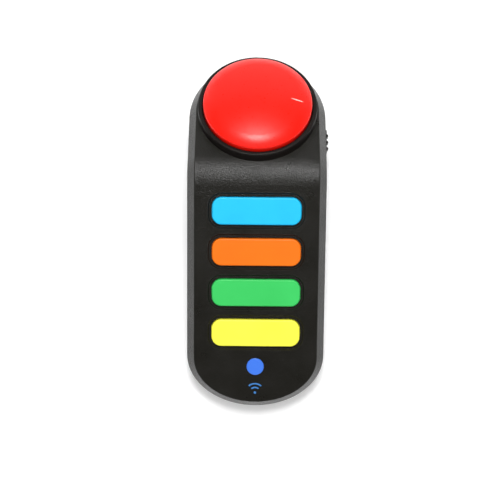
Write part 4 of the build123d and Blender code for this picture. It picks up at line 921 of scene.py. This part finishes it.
@dataclass
class Casing(SubAssembly):
    """Both shells with feet and screws, the cell bay's cover, and what is printed on them."""

    mark_beyond_lens: float = 9.9 * MM
    mark_dot: float = 0.55 * MM
    mark_drop: float = 2.0 * MM
    mark_radii: tuple[float, float] = (2.3 * MM, 4.0 * MM)
    mark_width: float = 0.65 * MM
    print_height: float = 0.04 * MM
    print_sink: float = 0.02 * MM
    switch_mark_drop: float = 5.6 * MM
    switch_mark_gap: float = 5.0 * MM
    switch_mark_size: float = 1.25 * MM
    switch_mark_line: float = 0.5 * MM
    arrow_along: float = 0.45
    arrow_radius: float = 3.4 * MM
    arrow_height: float = 0.3 * MM
    shaft_shares: tuple[float, float] = (0.6, 1.5)
    shaft_corner: float = 0.2 * MM
    sign_size: float = 4.4 * MM
    sign_line: float = 0.9 * MM
    sign_height: float = 0.2 * MM
    sign_corner: float = 0.15 * MM

    def dress(self) -> None:
        """Puts the finishes on the CAD pieces."""
        PALETTE.dress(Finish.CASING, "top_shell", "bottom_shell", "battery_cover")
        PALETTE.dress(Finish.INSIDE, "cover_latch", "head_chassis")
        PALETTE.dress(Finish.FOOT, "rubber_feet")
        PALETTE.dress(Finish.PLATED, "case_screws", "board_screws")
        PALETTE.dress(Finish.PLATED, "chassis_screws", "head_board_screws")

    def build(self) -> None:
        """Adds every mark."""
        self.radio_mark()
        self.switch_marks()
        self.cover_arrow()
        self.polarity_signs()

    def radio_mark(self) -> None:
        """Prints a dot with two arcs, the usual sign for radio, between the lamp and the tail."""
        lens = (middle("status_lens") - HANDLE.origin).dot(HANDLE.up)
        place = HANDLE.matrix(0, lens - self.mark_beyond_lens - self.mark_drop, -self.print_sink)
        height = self.print_height + self.print_sink
        mesh = bmesh.new()
        add_disc(mesh, place, self.mark_dot, height)
        for radius in self.mark_radii:
            add_arc(mesh, place, radius, self.mark_width, height, (48, 132))
        make_piece("radio_mark", mesh, Finish.MARK, "casing")

    def switch_marks(self) -> None:
        """Prints a ring for off and a bar for on under the power switch."""
        knob, travel = middle("switch_knob"), JOINTS["power_switch"]["range_m"][1]
        wall = span("bottom_shell")[1].x - self.print_sink
        turn = Matrix.Rotation(math.pi / 2, 4, "Y")
        height = self.print_height + self.print_sink
        low = knob.z - self.switch_mark_drop
        size, line = self.switch_mark_size, self.switch_mark_line
        off = Matrix.Translation((wall, knob.y - self.switch_mark_gap + travel / 2, low)) @ turn
        on = Matrix.Translation((wall, knob.y + self.switch_mark_gap + travel / 2, low)) @ turn
        mesh = bmesh.new()
        add_arc(mesh, off, size - line / 2, line, height)
        add_bar(mesh, on, (2 * size, line, height), line * 0.3)
        make_piece("switch_marks", mesh, Finish.PAINT, "casing")

    def cover_arrow(self) -> None:
        """Raises an arrow on the cover that points at its latch."""
        low, high = span("battery_cover")
        spot = Vector((MIDDLE_X, low.y + (high.y - low.y) * self.arrow_along, low.z))
        face = Matrix.Translation(spot) @ Matrix.Rotation(math.pi, 4, "X")
        head_at = face @ Matrix.Rotation(math.pi / 2, 4, "Z")
        mesh = bmesh.new()
        add_disc(mesh, head_at, self.arrow_radius, self.arrow_height, 3)
        shaft = face @ Matrix.Translation((0, -self.arrow_radius, 0))
        width, length = (self.arrow_radius * share for share in self.shaft_shares)
        add_bar(mesh, shaft, (width, length, self.arrow_height), self.shaft_corner)
        make_piece("cover_arrow", mesh, Finish.CASING, "bay_cover")

    def polarity_signs(self) -> None:
        """Raises plus and minus signs on the inside of the cover, under the ends of the cells."""
        inside = span("battery_cover")[0].z + COVER_THICKNESS - self.print_sink
        level = (self.sign_size, self.sign_line, self.sign_height)
        upright = (self.sign_line, self.sign_size, self.sign_height)
        mesh = bmesh.new()
        reach = (span("cell_1")[1].y - span("cell_1")[0].y) / 2 - 2 * self.sign_size
        for cell, plus_side in (("cell_1", 1), ("cell_2", -1)):
            centre = middle(cell)
            for side in (-1, 1):
                place = Matrix.Translation((centre.x, centre.y + side * reach, inside))
                add_bar(mesh, place, level, self.sign_corner)
                if side == plus_side:
                    add_bar(mesh, place, upright, self.sign_corner)
        make_piece("polarity_signs", mesh, Finish.INSIDE, "bay_cover")


@dataclass
class Buzzer(SubAssembly):
    """The domed push button with its collar and mechanism."""

    scuff_right: float = 17.0 * MM
    scuff_up: float = 2.4 * MM
    scuff_turn: float = -15.0

    def dress(self) -> None:
        """Puts the finishes on the CAD pieces."""
        PALETTE.dress(Finish.COLLAR, "buzzer_collar")
        dome = middle("buzzer_dome")
        place = Vector((MIDDLE_X + self.scuff_right, dome.y + self.scuff_up, 0))
        hit = NODES["buzzer_dome"].ray_cast(place + Vector((0, 0, 0.2)), Vector((0, 0, -1)))
        PALETTE.dress_dome(hit[1], math.radians(self.scuff_turn))
        PALETTE.dress(Finish.DIFFUSER, "dome_plunger")
        PALETTE.dress(Finish.SPRING, "dome_springs")
        PALETTE.dress(Finish.KEYPAD, "buzzer_contact")
        PALETTE.dress(Finish.RED_LAMP, "buzzer_lamps")
        PALETTE.dress(Finish.BOARD, "head_board")


@dataclass
class Keys(SubAssembly):
    """The four answer buttons on their rubber keypad."""

    colours: dict[str, Finish] = field(
        default_factory=lambda: {
            "blue": Finish.BLUE,
            "orange": Finish.ORANGE,
            "green": Finish.GREEN,
            "yellow": Finish.YELLOW,
        }
    )

    def dress(self) -> None:
        """Puts the finishes on the CAD pieces."""
        for name, finish in self.colours.items():
            PALETTE.dress(finish, f"{name}_button")
            PALETTE.dress(Finish.CARBON, f"{name}_contacts")
        PALETTE.dress(Finish.KEYPAD, "keypad")


@dataclass
class Electronics(SubAssembly):
    """Boards, chips, lamp, lens, plugs, switch and leads."""

    solder_radius: float = 0.55 * MM
    solder_pitch: float = 2.0 * MM
    solder_count: int = 5
    solder_inset: float = 2.5 * MM
    solder_height: float = 0.7

    def dress(self) -> None:
        """Puts the finishes on the CAD pieces."""
        PALETTE.dress(Finish.BOARD, "main_board", "radio_module", "switch_board")
        PALETTE.dress(Finish.CHIP, "main_chip", "capacitor", "switch_slider")
        PALETTE.dress(Finish.SHIELD, "radio_shield", "switch_body")
        PALETTE.dress(Finish.BLUE_LAMP, "status_lamp")
        PALETTE.dress(Finish.LENS, "status_lens")
        PALETTE.dress(Finish.PLUG, "board_plugs")
        PALETTE.dress(Finish.CABLE, "ribbon")
        PALETTE.dress(Finish.COLLAR, "switch_knob")
        PALETTE.dress(Finish.RED_LEAD, "switch_leads", "battery_leads")

    def build(self) -> None:
        """Adds the solder joints of the main board's plug, on the board's upper face."""
        normal = HANDLE.normal
        lift = max(normal.dot(v.co) for v in NODES["main_board"].data.vertices)
        board_top = Place(HANDLE.origin - normal * (normal.dot(HANDLE.origin) - lift), normal)
        plug = min(NODES["board_plugs"].data.vertices, key=lambda v: v.co.y).co
        along = (plug - board_top.origin).dot(board_top.up) + self.solder_inset
        mesh = bmesh.new()
        for i in range(self.solder_count):
            place = board_top.matrix((i - (self.solder_count - 1) / 2) * self.solder_pitch, along)
            made = bmesh.ops.create_uvsphere(
                mesh, u_segments=16, v_segments=8, radius=self.solder_radius, matrix=place
            )
            bmesh.ops.scale(
                mesh, vec=(1, 1, self.solder_height), space=place.inverted(), verts=made["verts"]
            )
        make_piece("solder_joints", mesh, Finish.SOLDER, "casing")


@dataclass
class Power(SubAssembly):
    """The two cells with their wraps, and their contacts."""

    wrap_thickness: float = 0.08 * MM
    wrap_share: float = 0.68
    wrap_margin: float = 0.9 * MM
    cap_length: float = 1.2 * MM

    def dress(self) -> None:
        """Puts the finishes on the CAD pieces."""
        PALETTE.dress(Finish.CELL, "cell_1", "cell_2")
        PALETTE.dress(Finish.PLATED, "battery_terminals", "battery_bridge")
        PALETTE.dress(Finish.SPRING, "battery_springs")

    def build(self) -> None:
        """Wraps each cell in a dark sleeve with a copper-coloured band at its positive end."""
        for cell, positive in (("cell_1", 1), ("cell_2", -1)):
            low, high = span(cell)
            radius = (high.x - low.x) / 2
            body_low, body_high = low.y + self.wrap_margin, high.y - self.wrap_margin
            if positive > 0:
                body_high -= self.cap_length
                share, first, second = self.wrap_share, Finish.WRAP, Finish.WRAP_BAND
            else:
                body_low += self.cap_length
                share, first, second = 1 - self.wrap_share, Finish.WRAP_BAND, Finish.WRAP
            split = body_low + (body_high - body_low) * share
            self.wrap(f"{cell}_wrap_tail", middle(cell), radius, (body_low, split), first)
            self.wrap(f"{cell}_wrap_head", middle(cell), radius, (split, body_high), second)

    def wrap(
        self, name: str, centre: Vector, radius: float, reach: tuple[float, float], finish: Finish
    ) -> None:
        """Makes one thin sleeve round a cell.

        Args:
            name: The piece's name.
            centre: Middle of the cell.
            radius: The cell's radius.
            reach: Lowest and highest Y.
            finish: What it is made of.
        """
        start = Matrix.Translation((centre.x, reach[1], centre.z))
        place = start @ Matrix.Rotation(math.pi / 2, 4, "X")
        thickness = self.wrap_thickness
        mesh = bmesh.new()
        add_arc(mesh, place, radius + thickness / 2, thickness, reach[1] - reach[0])
        make_piece(name, mesh, finish, "casing")


def main() -> None:
    """Builds and dresses every sub-assembly, then the studio."""
    logging.basicConfig(level=logging.INFO)
    for part in (Casing(), Buzzer(), Keys(), Electronics(), Power()):
        part.dress()
        part.build()
        log.info("finished %s", type(part).__name__)
    Studio().build()


if __name__ == "__main__":
    main()
